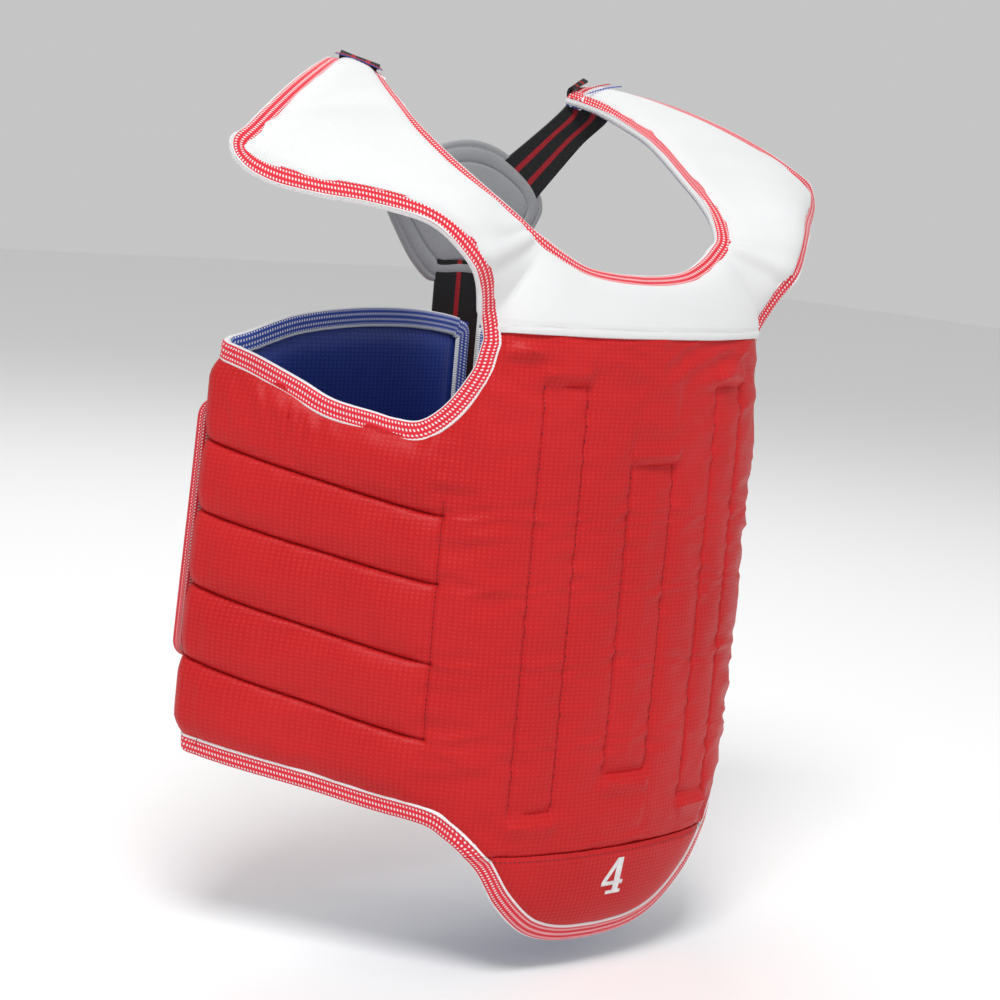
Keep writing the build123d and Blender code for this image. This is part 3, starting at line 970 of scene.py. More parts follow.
@dataclass(frozen=True)
class GuardPattern:
    """Edges, seams and relief of the guard, laid out on the wall as (along, height)."""

    wall: WallLine = WallLine()
    yoke_seam: float = 131 * MM
    flap_seam: float = -211 * MM
    tape: float = 11 * MM
    split: float = 305 * MM
    yoke_foot: float = 135.3 * MM
    wing_end: float = 5 * MM
    side_front: float = 153 * MM
    quilt: tuple = ((10, 42), (-34, -5), (-86, -54), (-136, -102))
    centre_box: tuple = (19.5, -160, 48)
    outer_box: tuple = (60, 92, -185, 100)

    def armhole(self) -> np.ndarray:
        """Armhole edge, from the foot of the yoke to the back corner."""
        points = [(-115, 131), (-113, 118), (-110, 104), (-99, 82), (-86, 69), (-72, 68.5)]
        points += [(-60, 71), (-35, 76), (-14, 86), (13, 97), (30, 102)]
        return smooth_line([(self.wall.along_at_y(y * MM) / MM, z) for y, z in points], 2 * MM)

    def hem(self) -> np.ndarray:
        """Hem edge, from the end of the flap to the back corner."""
        points = [(-124.5, -211), (-121, -206), (-115, -200), (-104, -192.5)]
        points += [(-75, -187), (-35, -180), (30, -170)]
        return smooth_line([(self.wall.along_at_y(y * MM) / MM, z) for y, z in points], 2 * MM)

    def flap_edge(self) -> np.ndarray:
        """Edge of the groin flap, from the middle of its foot to the seam."""
        points = [(0, -280), (31, -278.5), (55, -273), (73, -263), (93, -244), (109, -222)]
        return smooth_line(points + [tuple(self.hem()[0] / MM)], 2 * MM)

    def wing_top(self) -> np.ndarray:
        """Top edge of a wing, from the back corner to its free end."""
        start = self.armhole()[-1] / MM
        points = [(start[0], start[1]), (start[0] + 12, start[1] + 2.5)]
        for x, z in [(196, 109), (158, 122), (112, 128), (65, 129), (30, 126), (5, 121)]:
            points.append((self.wall.along_at_wing_x(x * MM) / MM, z))
        return smooth_line(points, 2 * MM)

    def wing_foot(self) -> np.ndarray:
        """Foot edge of a wing, from the back corner to its free end."""
        start = self.hem()[-1] / MM
        points = [(start[0], start[1]), (start[0] + 20, start[1] + 1.5)]
        for x, z in [(158, -167), (80, -164), (5, -163)]:
            points.append((self.wall.along_at_wing_x(x * MM) / MM, z))
        return smooth_line(points, 2 * MM)

    def quilt_height(self, line: tuple, along: np.ndarray) -> np.ndarray:
        """Height of a quilting line at places along the wall."""
        front, back = line[0] * MM, line[1] * MM
        share = np.clip((along - self.side_front) / (330 * MM - self.side_front), 0, 1) ** 1.12
        return front + (back - front) * share

    def seams(self) -> list[np.ndarray]:
        """Stitched lines of one half of the front and its side panel, drawn to the back corner."""
        lines = []
        walk = np.linspace(self.side_front, self.split, 60)
        for line in self.quilt:
            lines.append(np.stack([walk, self.quilt_height(line, walk)], axis=1))
        upright = [(self.side_front, 21 * MM), (self.side_front, -136 * MM)]
        lines.append(np.array(upright))
        half, foot, top = (value * MM for value in self.centre_box)
        lines.append(np.array([(0, top), (half, top), (half, foot), (0, foot)]))
        near, far, foot, top = (value * MM for value in self.outer_box)
        lines.append(np.array([(near, foot), (near, top), (far, top), (far, foot), (near, foot)]))
        return lines

    def relief(self, along: np.ndarray, height: np.ndarray) -> np.ndarray:
        """How far the red face stands out from the wall line.

        Args:
            along: Places along the wall, signed by side.
            height: Their heights.

        Returns:
            The outward displacement at each place, in metres.
        """
        walked = np.abs(along)
        place = np.stack([walked, height], axis=-1)
        top_edge = np.vstack([self.armhole(), self.wing_top()])
        foot_edge = np.vstack([self.hem(), self.wing_foot()])
        end = self.wall.along_at_wing_x(self.wing_end)
        from_top = distance_to(place, top_edge)
        from_foot = distance_to(place, foot_edge)
        from_edge = np.minimum(np.minimum(from_top, from_foot), end - walked)
        out = -5.6 * MM * (1 - rounding(from_edge - 11.2 * MM, 22 * MM))
        free = ease(from_edge, 10 * MM, 24 * MM)
        below_yoke = np.where(walked < 150 * MM, self.yoke_seam - height, 1.0)
        out -= 2.8 * MM * (1 - rounding(below_yoke, 12 * MM)) * ease(walked, 146 * MM, 130 * MM)
        above_flap = np.where(walked < 125 * MM, height - self.flap_seam, 1.0)
        out -= 2.8 * MM * (1 - rounding(above_flap, 9 * MM))
        flank = ease(walked, 138 * MM, 172 * MM)
        from_line = np.full(walked.shape, 1.0)
        for line in self.quilt:
            drop = height - self.quilt_height(line, walked)
            away = np.hypot(drop, np.clip(self.side_front - walked, 0, None))
            from_line = np.minimum(from_line, away)
            out -= 1.5 * MM * np.exp(-((away / (1.4 * MM)) ** 2))
        out += flank * free * MM * (-2.6 + 5.4 * rounding(from_line, 21 * MM))
        out -= (1 - flank) * free * 1.6 * MM * np.exp(-from_line / (4 * MM))
        out -= self.front_grooves(place)
        return out + free * self.wrinkles(along, height, from_top, from_foot)

    def front_grooves(self, place: np.ndarray) -> np.ndarray:
        """Depth of the stitched grooves on the front, and of the upright one before the side channels.

        Args:
            place: Places as (along, height), unsigned.

        Returns:
            The depth at each place.
        """
        from_line = np.min([distance_to(place, line) for line in self.seams()[4:]], axis=0)
        walked, height = place[..., 0], place[..., 1]
        front = ease(walked, 172 * MM, 146 * MM)
        depth = front * 1.1 * MM * (1 - rounding(from_line, 8 * MM))
        depth += 0.5 * MM * np.exp(-((from_line / (1.0 * MM)) ** 2))
        near, far, foot, top = (value * MM for value in self.outer_box)
        half, box_foot, box_top = (value * MM for value in self.centre_box)
        for low, high, end, way in (
            (near, far, top, 1), (near, far, foot, -1), (-half, half, box_top, 1), (-half, half, box_foot, -1)
        ):
            inside = ease(walked, low - 5 * MM, low + 3 * MM) * ease(walked, high + 5 * MM, high - 3 * MM)
            beyond = way * (height - end)
            outside, within = np.exp(-np.abs(beyond) / (1.2 * MM)), np.exp(-np.abs(beyond) / (6 * MM))
            lap = np.where(beyond > 0, outside, within)
            depth += inside * 2.6 * MM * lap
            depth -= inside * 3.0 * MM * np.exp(-(((beyond - 6 * MM) / (5 * MM)) ** 2))
            fan = np.exp(-np.abs(beyond - 2 * MM) / (12 * MM)) * ease(walked, 44 * MM, 56 * MM)
            spread = np.abs(walked - (low + high) / 2)
            wave = ripples(beyond + 0.12 * spread, walked, 11 * MM, 60 * MM, 70 + int(low / MM) % 7)
            depth -= 1.3 * MM * fan * wave * ease(spread, 60 * MM, 18 * MM) * front
        return depth

    def wrinkles(
        self, along: np.ndarray, height: np.ndarray, from_top: np.ndarray, from_foot: np.ndarray
    ) -> np.ndarray:
        """Puckers beside the stitching, gathers at the back corner and folds by the hem.

        Args:
            along: Places along the wall, signed by side.
            height: Their heights.
            from_top: Distance from the upper edge.
            from_foot: Distance from the lower edge.

        Returns:
            The outward displacement at each place.
        """
        walked = np.abs(along)
        outer = np.minimum(np.abs(walked - 60 * MM), np.abs(walked - 92 * MM))
        near = np.minimum(np.abs(walked - 19.5 * MM), outer)
        front = ease(walked, 146 * MM, 118 * MM)
        tilt = 0.10 * (walked - 76 * MM)
        pucker = ripples(height + tilt, along, 12 * MM, 34 * MM, 3)
        pucker = pucker * (0.30 + 0.70 * np.exp(-near / (11 * MM)))
        out = 1.5 * MM * pucker * front
        high = ease(height, 52 * MM, 118 * MM)
        sweep = ripples(height - 0.34 * (walked - 76 * MM), along, 27 * MM, 95 * MM, 8)
        out += 2.6 * MM * ease(walked, 160 * MM, 130 * MM) * high * sweep
        side = ease(walked, 94 * MM, 120 * MM) * ease(walked, 168 * MM, 150 * MM)
        out += 1.8 * MM * side * ripples(height + 0.06 * walked, along, 19 * MM, 80 * MM, 5)
        window = ease(walked, 205 * MM, 236 * MM) * ease(walked, 316 * MM, 296 * MM)
        gather = ripples(walked + 0.35 * from_top, from_top, 17 * MM, 80 * MM, 12)
        out += 2.2 * MM * window * gather * np.exp(-np.clip(from_top - 10 * MM, 0, None) / (17 * MM))
        below = np.clip(from_top - 11 * MM, 0, None)
        pleats = [(228, 0.1, 2.4, 9), (241, 0.16, 3.4, 15), (252, 0.2, 3, 18)]
        pleats += [(263, 0.3, 3.4, 20), (279, 0.4, 2.6, 13)]
        for at, lean, deep, long in pleats:
            across = walked - at * MM + lean * below
            ridge = np.exp(-(((across - 5 * MM) / (3 * MM)) ** 2))
            hollow = np.exp(-((across / (2.1 * MM)) ** 2)) - 0.6 * ridge
            out -= deep * MM * hollow * np.exp(-((below / (long * MM)) ** 2))
        low = ease(walked, 62 * MM, 100 * MM) * ease(walked, 178 * MM, 146 * MM)
        fold = ripples(from_foot + 0.1 * walked, walked, 20 * MM, 65 * MM, 21)
        out += 3.4 * MM * low * fold * np.exp(-np.clip(from_foot - 10 * MM, 0, None) / (26 * MM))
        flank = ease(walked, 160 * MM, 190 * MM)
        out += 0.4 * MM * flank * ripples(height + 0.1 * walked, walked, 19 * MM, 110 * MM, 31)
        return out

    def tape_section(self) -> tuple[np.ndarray, np.ndarray]:
        """Cross-section of the folded tape: distance in from the edge, and depth in from the wall line."""
        leg = [(12.4, 5.2), (11.8, 4.0), (10.9, 3.6), (10.0, 4.1)]
        leg += [(8.0, 4.3), (5.5, 4.35), (3.0, 4.5), (1.1, 5.0)]
        fold = [(0.1, 6.1), (-0.2, 7.6), (0.1, 9.1)]
        back = [(e, 15.2 - d) for e, d in leg[::-1]]
        section = np.array(leg + fold + back) * MM
        return section[:, 0], section[:, 1]

    def mitred(self, path: np.ndarray, inward: np.ndarray) -> np.ndarray:
        """Inward directions of a tape, turned level beside the end of the flap's seam.

        Args:
            path: Edge as (along, height).
            inward: Unit vectors across it.

        Returns:
            The directions, longer where the tape is cut at a slant, so that two tapes meet along the seam.
        """
        away = np.linalg.norm(np.abs(path) - np.abs(self.hem()[0]), axis=1)
        share = ease(away, 20 * MM, 0.5 * MM)[:, None]
        level = np.stack([-np.sign(path[:, 0]), np.zeros(len(path))], axis=1)
        return inward * (1 - share) + 1.35 * level * share

    def wall_tape(self, path: np.ndarray, side: Side, inward_left: bool, sink: float = 0.0) -> np.ndarray:
        """Cross-sections of a tape along an edge that lies on the wall.

        Args:
            path: Edge as (along, height).
            side: Side of the wearer.
            inward_left: True where the guard is to the left of the path's direction of travel.
            sink: Extra depth of the tape.

        Returns:
            Stations by points across the tape by three.
        """
        ahead = unit(softened(np.gradient(path, axis=0), 4))
        inward = np.stack([-ahead[:, 1], ahead[:, 0]], axis=1) * (1 if inward_left else -1)
        reach, depth = self.tape_section()
        spots = path[:, None, :] + self.mitred(path, inward)[:, None, :] * reach[None, :, None]
        return self.wall.place(side.value * spots[..., 0], spots[..., 1], depth[None, :] + sink)


# Sub-assemblies


@dataclass
class Vest:
    """Front and side panels of the guard: a red padded face and a blue one behind it."""

    pattern: GuardPattern
    thick: float = 17 * MM
    rows: tuple = (26, 20, 20, 20, 40)
    lining_rows: tuple = (12, 10, 10, 10, 18)

    def columns(self) -> np.ndarray:
        """Places along the wall of the net's columns, closer beside the upright stitching."""
        knots = np.array((0, 19.5, 60, 92, 129, 153, 305)) * MM
        half = [np.zeros(1)]
        for start, stop, count in zip(knots[:-1], knots[1:], (8, 17, 14, 13, 16, 76)):
            half.append(start + (stop - start) * crowded(count, 0.6)[1:])
        half = np.concatenate(half)
        return np.concatenate([-half[:0:-1], half])

    def net(self, columns: np.ndarray, counts: tuple) -> tuple[np.ndarray, np.ndarray]:
        """Places of a net of points that fills the vest, with rows along every quilting line.

        Args:
            columns: Places along the wall.
            counts: Number of rows from the hem to each quilting line in turn, and to the top.

        Returns:
            Along and height of each point, rows by columns.
        """
        walked = np.abs(columns)
        armhole, hem = self.pattern.armhole(), self.pattern.hem()
        under_arm = np.interp(walked, armhole[:, 0], armhole[:, 1])
        top = np.where(walked > armhole[0, 0], under_arm, self.pattern.yoke_seam)
        foot = np.where(walked > hem[0, 0], np.interp(walked, hem[:, 0], hem[:, 1]), self.pattern.flap_seam)
        edge = 0.7 * MM
        levels = [foot + edge * (walked > hem[0, 0])]
        levels += [self.pattern.quilt_height(line, walked) for line in self.pattern.quilt[::-1]]
        levels.append(top - edge * (walked > armhole[0, 0]))
        rows = [levels[0][None]]
        for low, high, count in zip(levels[:-1], levels[1:], counts):
            rows.append(low + (high - low) * crowded(count, 0.6)[1:, None])
        height = np.concatenate(rows)
        return np.broadcast_to(columns, height.shape), height

    def settled(self, along: np.ndarray, height: np.ndarray, relief: np.ndarray) -> np.ndarray:
        """Extra outward move of the red cover from a cloth simulation, on every second row and column.

        Args:
            along: Net along the wall.
            height: Its heights.
            relief: Its displacement as cut.

        Returns:
            The extra displacement of every point of the net.
        """
        rows, columns = np.arange(0, along.shape[0], 2), np.arange(0, along.shape[1], 2)
        pick = np.ix_(rows, columns)
        points = self.pattern.wall.place(along[pick], height[pick], -relief[pick])
        place = np.stack([np.abs(along[pick]), height[pick]], axis=-1)
        from_seam = np.min([distance_to(place, line) for line in self.pattern.seams()], axis=0)
        pinned = np.exp(-((from_seam / (3.5 * MM)) ** 2))
        edge = np.zeros(pinned.shape)
        edge[:4], edge[-4:], edge[:, :2], edge[:, -2:] = 1, 1, 1, 1
        move = settle(points, np.maximum(pinned, edge), pressure=1.2, slack=0.012, cap=2.4 * MM)
        outward = self.pattern.wall.outward(along[pick])
        coarse = np.sum(move * outward, axis=2)
        fine = np.stack([np.interp(np.arange(along.shape[1]), columns, row) for row in coarse])
        fine = np.stack([np.interp(np.arange(along.shape[0]), rows, column) for column in fine.T], axis=1)
        for _ in range(2):
            fine[1:-1] = (fine[:-2] + 2 * fine[1:-1] + fine[2:]) / 4
            fine[:, 1:-1] = (fine[:, :-2] + 2 * fine[:, 1:-1] + fine[:, 2:]) / 4
        return fine

    def outer(self) -> None:
        """Red padded face."""
        along, height = self.net(self.columns(), self.rows)
        relief = self.pattern.relief(along, height)
        relief = relief + self.settled(along, height, relief)
        wall = self.pattern.wall
        face = wall.place(along, height, -relief)
        back = wall.place(along, height, np.full(along.shape, 8.2 * MM))
        piece = make_slab("vest_outer_padding", face, back, np.stack([along, height], axis=2))
        nodes = ["outer_cover", "front_foam"]
        nodes += [f"{side.word}_side_foam_{number}" for side in Side for number in range(1, 6)]
        dress(piece, RED_VINYL.material(), "vest", nodes)

    def inner(self) -> None:
        """Blue padded face on the wearer's side."""
        columns = self.columns()[::2]
        along, height = self.net(columns, self.lining_rows)
        relief = self.pattern.relief(along, height)
        walked = np.abs(along)
        thick = self.thick - (self.thick - 11.5 * MM) * ease(walked, 280 * MM, 304 * MM)
        depth = np.clip(thick + 0.9 * relief - 0.6 * MM, 9.9 * MM, thick + 2 * MM)
        wall = self.pattern.wall
        face = wall.place(along, height, depth)
        front = wall.place(along, height, np.full(along.shape, 8.3 * MM))
        piece = make_slab("vest_inner_padding", front, face, np.stack([along, height], axis=2))
        dress(piece, BLUE_VINYL.material(), "vest", ["inner_cover"])

    def stitching(self) -> None:
        """Dark red stitches in the grooves of the front and sides."""
        lines = []
        for side in Side:
            for seam in self.pattern.seams():
                path = even_line(seam, 1.3 * MM)
                relief = self.pattern.relief(side.value * path[:, 0], path[:, 1])
                lines.append(
                    (
                        self.pattern.wall.place(side.value * path[:, 0], path[:, 1], -relief - 0.05 * MM),
                        self.pattern.wall.outward(side.value * path[:, 0]),
                    )
                )
        piece = StitchShape().sew("quilting_thread", lines)
        dress(piece, RED_THREAD.material(), "vest", [])

    def hem_tape(self, side: Side) -> None:
        """Binding along the hem of one side."""
        sections = self.pattern.wall_tape(self.pattern.hem(), side, inward_left=True)
        piece = make_ribbon(f"{side.word}_hem_tape", sections, net_uv(sections), 0.8 * MM)
        dress(piece, TAPE.material(), "vest", [f"{side.word}_hem_binding"])

    def build(self) -> None:
        """Make every piece of the front and sides."""
        self.outer()
        self.inner()
        self.stitching()
        for side in Side:
            self.hem_tape(side)


@dataclass
class YokeHalf:
    """White shoulder half: it rises from the chest seam and flares over one shoulder.

    A place on it is (v, share): v walks from the middle of the chest, 0, to the tip behind the shoulder, 9,
    and share runs from the neck edge, 0, to the seam or the armhole edge, 1.
    """

    pattern: GuardPattern
    side: Side
    columns: int = 46
    neck: tuple = (
        (0, -124, 173), (24, -121, 174), (45, -117.5, 177), (62, -115, 184), (76, -111, 192), (90, -99, 206),
        (101, -75, 223), (107, -48, 239), (110, -16, 258), (105, 11, 272), (96, 38, 283), (84, 59, 289),
    )
    neck_at: tuple = (0, 0.5, 1, 1.5, 2, 3, 4, 5, 6, 7, 8, 9)
    edge: tuple = (
        (138, -124, 157), (152, -127, 174), (175, -112, 198),
        (204, -87, 207), (232, -63, 210), (253, -46, 215),
        (265, -36, 223), (268, -30, 233), (262, -27, 243), (248, -21, 252), (228, -10, 264), (200, 8, 278),
        (166, 33, 291), (142, 55, 297), (120, 80, 300),
    )
    edge_at: tuple = (2.5, 3, 3.5, 4, 4.6, 5.15, 5.6, 6.0, 6.3, 6.6, 7, 7.45, 8.0, 8.5, 9)
    rise: tuple = (3, 4, 7, 8, 9, 12, 11, 3, 2, 2)
    facing: tuple = (
        (0, -1, 0.5), (0.2, -1, 0.5), (0.5, -1, 0.3), (0.4, -1, 0.9),
        (0.2, -0.6, 1), (0.2, -0.3, 1), (0.2, 0, 1),
        (0, 0.1, 1), (-0.1, 0.1, 1), (-0.1, 0.1, 1),
    )
    thick: float = 12 * MM

    def curve(self, points: np.ndarray, at: np.ndarray, v: np.ndarray) -> np.ndarray:
        """Smooth line through points that stand at given values of v.

        Args:
            points: The points in a row.
            at: Value of v at each of them.
            v: Places along the half, counted in stations.

        Returns:
            Points of the curve.
        """
        slopes = np.gradient(points, at, axis=0)
        index = np.clip(np.searchsorted(at, v, side="right") - 1, 0, len(at) - 2)
        span = (at[index + 1] - at[index])[:, None]
        t = (v - at[index])[:, None] / span
        a, b, m, n = points[index], points[index + 1], slopes[index] * span, slopes[index + 1] * span
        start = (2 * t**3 - 3 * t**2 + 1) * a + (t**3 - 2 * t**2 + t) * m
        return start + (3 * t**2 - 2 * t**3) * b + (t**3 - t**2) * n

    def outer_line(self, v: np.ndarray) -> np.ndarray:
        """Outer boundary: along the chest seam as far as the armhole, then up the armhole edge to the tip.

        Args:
            v: Places along the half, counted in stations.

        Returns:
            Points of the edge.
        """
        foot = self.pattern.wall.place(self.pattern.yoke_foot, self.pattern.yoke_seam, 0.0)
        pattern = self.pattern
        rising = pattern.wall.place(pattern.yoke_foot + 0.5 * MM, pattern.yoke_seam - 6 * MM, 0.0)
        points = np.vstack([rising, foot, np.array(self.edge) * MM])
        at = np.concatenate([[1.7, 2.0], self.edge_at])
        upper = self.curve(points, at, np.clip(v, 2.0, 9.0))
        along_seam = np.clip(v, 0, 2) / 2 * self.pattern.yoke_foot
        seam = self.pattern.wall.place(along_seam, self.pattern.yoke_seam, 0.0)
        return np.where((v < 2)[:, None], seam, upper)

    def surface(self, v: np.ndarray, share: np.ndarray) -> np.ndarray:
        """Points of the smooth outer face.

        Args:
            v: Stations, in a row.
            share: Shares of the way from the neck edge to the outer boundary, in a row.

        Returns:
            Stations by shares by three, mirrored to this half's side.
        """
        neck = self.curve(np.array(self.neck) * MM, np.array(self.neck_at, float), v)
        edge = self.outer_line(v)
        whole = np.arange(10.0)
        rise = self.curve(np.array(self.rise, float)[:, None] * MM, whole, v)[:, 0]
        facing = self.curve(np.array(self.facing, float), whole, v)
        chord = edge - neck
        across = unit(chord)
        out = unit(facing - np.sum(facing * across, axis=1, keepdims=True) * across)
        lean = (ease(v, 2.2, 3.4) * ease(v, 6.7, 5.7))[:, None]
        profile = (1 - lean) * 4 * share * (1 - share) + lean * 6.75 * share**2 * (1 - share)
        lift = rise[:, None] * profile
        points = neck[:, None] + share[None, :, None] * chord[:, None] + lift[..., None] * out[:, None]
        return points * (self.side.value, 1, 1)

    def outward(self, points: np.ndarray) -> np.ndarray:
        """Outward directions of a net of surface points."""
        facing = np.cross(np.gradient(points, axis=0), np.gradient(points, axis=1))
        return unit(facing * -self.side.value)

    def build_net(self) -> tuple[np.ndarray, np.ndarray, np.ndarray, np.ndarray]:
        """Stations, shares, surface points and outward directions of the panel."""
        v = np.concatenate([np.linspace(0, 2, 34)[:-1], np.linspace(2, 9, 120)])
        share = np.linspace(0, 1, self.columns)
        points = self.surface(v, share)
        return v, share, points, self.outward(points)

    def panels(self) -> None:
        """White padded cover and the white lining under it."""
        v, share, points, outward = self.build_net()
        taped = points[v >= 2][:, -1]
        from_tape = np.minimum(distance_to(points, points[:, 0]), distance_to(points, taped))
        from_tape = np.minimum(from_tape, distance_to(points, points[-1]))
        from_seam = distance_to(points, points[v <= 2][:, -1])
        relief = -4.8 * MM * (1 - rounding(from_tape - 9.0 * MM, 15 * MM))
        relief -= 1.2 * MM * (1 - rounding(from_seam, 6 * MM))
        stitched = from_seam - 5.5 * MM
        relief -= 0.7 * MM * np.exp(-((stitched / (1.3 * MM)) ** 2)) * (from_tape > 10 * MM)
        relief += self.folds(v[:, None] + 0 * share, share[None, :] + 0 * v[:, None])
        face = points + outward * relief[..., None]
        middle = points - outward * 6.4 * MM
        below = points - outward * np.clip(self.thick + 0.8 * relief, 8.2 * MM, None)[..., None]
        across = lengths_along(points[len(points) // 2])
        middle_length = lengths_along(points[:, self.columns // 2])
        uv = np.stack(np.broadcast_arrays(middle_length[:, None], across[None, :]), axis=2)
        word = self.side.word
        cover = make_slab(f"{word}_yoke_panel", face, middle, uv)
        nodes = [f"{word}_yoke_cover", f"{word}_yoke_foam"]
        dress(cover, WHITE_CLOTH.material(), "vest", nodes)
        lining = make_slab(f"{word}_yoke_lining_panel", middle - outward * 0.1 * MM, below, uv)
        dress(lining, WHITE_CLOTH.material(), "vest", [f"{word}_yoke_lining"])

    def folds(self, v: np.ndarray, share: np.ndarray) -> np.ndarray:
        """Soft creases where the shoulder bends forward out of the chest.

        Args:
            v: Places along the half.
            share: Places across it.

        Returns:
            The displacement at each place.
        """
        out = np.zeros(v.shape)
        for at, lean, deep in ((2.35, 0.55, 1.5), (2.85, 0.75, 1.1)):
            away = v - at - lean * (share - 0.5)
            window = ease(share, 0.05, 0.25) * ease(share, 1.0, 0.8)
            out -= deep * MM * np.exp(-((away / 0.12) ** 2)) * window
            out += 0.6 * deep * MM * np.exp(-(((away - 0.24) / 0.16) ** 2)) * window
        out += 0.5 * MM * ripples(v * 22 * MM, share * 0.12, 42 * MM, 90 * MM, 40 + self.side.value)
        return out

    def seam_thread(self) -> None:
        """White topstitching above the chest seam."""
        v = np.linspace(0.05, 1.9, 90)
        points = self.surface(v, np.linspace(0, 1, 60))
        outward = self.outward(points)
        from_seam = np.linalg.norm(points - points[:, -1:], axis=2)
        pick = np.abs(from_seam - 5.5 * MM).argmin(axis=1)
        rows = np.arange(len(v))
        line = points[rows, pick] - outward[rows, pick] * 0.55 * MM
        piece = StitchShape(pitch=2.4 * MM, thread=0.36 * MM).sew(
            f"{self.side.word}_yoke_thread", [(softened(line, 6), outward[rows, pick])]
        )
        dress(piece, WHITE_THREAD.material(), "vest", [])

    def tip_thread(self) -> None:
        """Red and blue zigzag rows that hold the strap to the tip."""
        for name, at, finish in (("red", 8.66, BRIGHT_THREAD), ("blue", 8.52, BLUE_THREAD)):
            share = np.linspace(0.13, 0.86, 60)
            points = self.surface(np.array([at - 0.05, at, at + 0.05]), share)
            outward = self.outward(points)[1]
            shape = StitchShape(pitch=1.5 * MM, length=3.4 * MM, thread=0.62 * MM, swing=0.95)
            piece = shape.sew(f"{self.side.word}_{name}_zigzag", [(points[1] + outward * 0.35 * MM, outward)])
            dress(piece, finish.material(), "vest", [])

    def edge_sections(self) -> np.ndarray:
        """Cross-sections of the tape up the armhole edge and round the tip."""
        v = np.concatenate([np.linspace(2.0, 8.75, 150), np.full(14, 9.0)])
        points = self.surface(np.linspace(2.0, 9.0, 150), np.linspace(0, 1, 30))
        facing = self.outward(points)
        at = np.linspace(2.0, 9.0, 150)
        side_path = np.stack([np.interp(v[:150], at, points[:, -1, k]) for k in range(3)], axis=1)
        side_facing = np.stack([np.interp(v[:150], at, facing[:, -1, k]) for k in range(3)], axis=1)
        tip = np.linspace(29, 0, 14)
        tip_path = np.stack([np.interp(tip, np.arange(30), points[-1, :, k]) for k in range(3)], axis=1)
        tip_facing = np.stack([np.interp(tip, np.arange(30), facing[-1, :, k]) for k in range(3)], axis=1)
        path = softened(np.vstack([side_path, tip_path]), 3)
        facing = unit(np.vstack([side_facing, tip_facing]))
        return self.tape_round(path, facing, self.side.value)

    def neck_sections(self) -> np.ndarray:
        """Cross-sections of the tape along the neck edge, from the middle of the chest to the tip."""
        v = np.linspace(0, 9, 190)
        points = self.surface(v, np.linspace(0, 1, 30))
        facing = self.outward(points)[:, 0]
        path = points[:, 0]
        return self.tape_round(path, softened(facing, 4), -self.side.value)

    def tape_round(self, path: np.ndarray, facing: np.ndarray, turn: int) -> np.ndarray:
        """Cross-sections of a tape along an edge in space.

        Args:
            path: Points of the edge.
            facing: Outward direction of the panel at each.
            turn: 1 or -1, the way from the edge into the panel.

        Returns:
            Stations by points across the tape by three.
        """
        ahead = unit(softened(np.gradient(path, axis=0), 5))
        if abs(path[0, 0]) < 1 * MM:
            ahead[0] = (self.side.value, 0, 0)
        inward = unit(softened(np.cross(facing, ahead) * turn, 5))
        reach, depth = self.pattern.tape_section()
        sections = path[:, None] + inward[:, None] * reach[None, :, None]
        sections = sections - facing[:, None] * depth[None, :, None]
        share = np.clip(reach / (12 * MM), 0, 1)[None, :, None]
        return softened(sections, 3) * (1 - share) + softened(sections, 22) * share


@dataclass
class Bindings:
    """Knitted tapes round the neck and up both armholes."""

    pattern: GuardPattern
    halves: dict[Side, YokeHalf]

    def neck(self) -> None:
        """One tape from the right tip down round the neck and up to the left tip."""
        right, left = self.halves[Side.RIGHT].neck_sections(), self.halves[Side.LEFT].neck_sections()
        sections = np.concatenate([right[::-1], left[1:]])
        piece = make_ribbon("neck_tape", sections, net_uv(sections), 0.8 * MM)
        dress(piece, TAPE.material(), "vest", ["neck_binding"])

    def armhole(self, side: Side) -> None:
        """One tape from the back corner under the arm, up the armhole edge and round the tip.

        Args:
            side: Side of the wearer.
        """
        lower = self.pattern.wall_tape(self.pattern.armhole(), side, inward_left=False)
        upper = self.halves[side].edge_sections()
        joined = np.concatenate([lower[::-1], upper[1:]])
        sections = joined.copy()
        meeting = len(lower)
        for row in range(meeting - 6, meeting + 6):
            sections[row] = joined[row - 3 : row + 4].mean(axis=0)
        piece = make_ribbon(f"{side.word}_armhole_tape", sections, net_uv(sections), 0.8 * MM)
        nodes = [f"{side.word}_armhole_binding", f"{side.word}_shoulder_binding"]
        dress(piece, TAPE.material(), "vest", nodes)

    def build(self) -> None:
        """Make the neck tape and both armhole tapes."""
        self.neck()
        for side in Side:
            self.armhole(side)


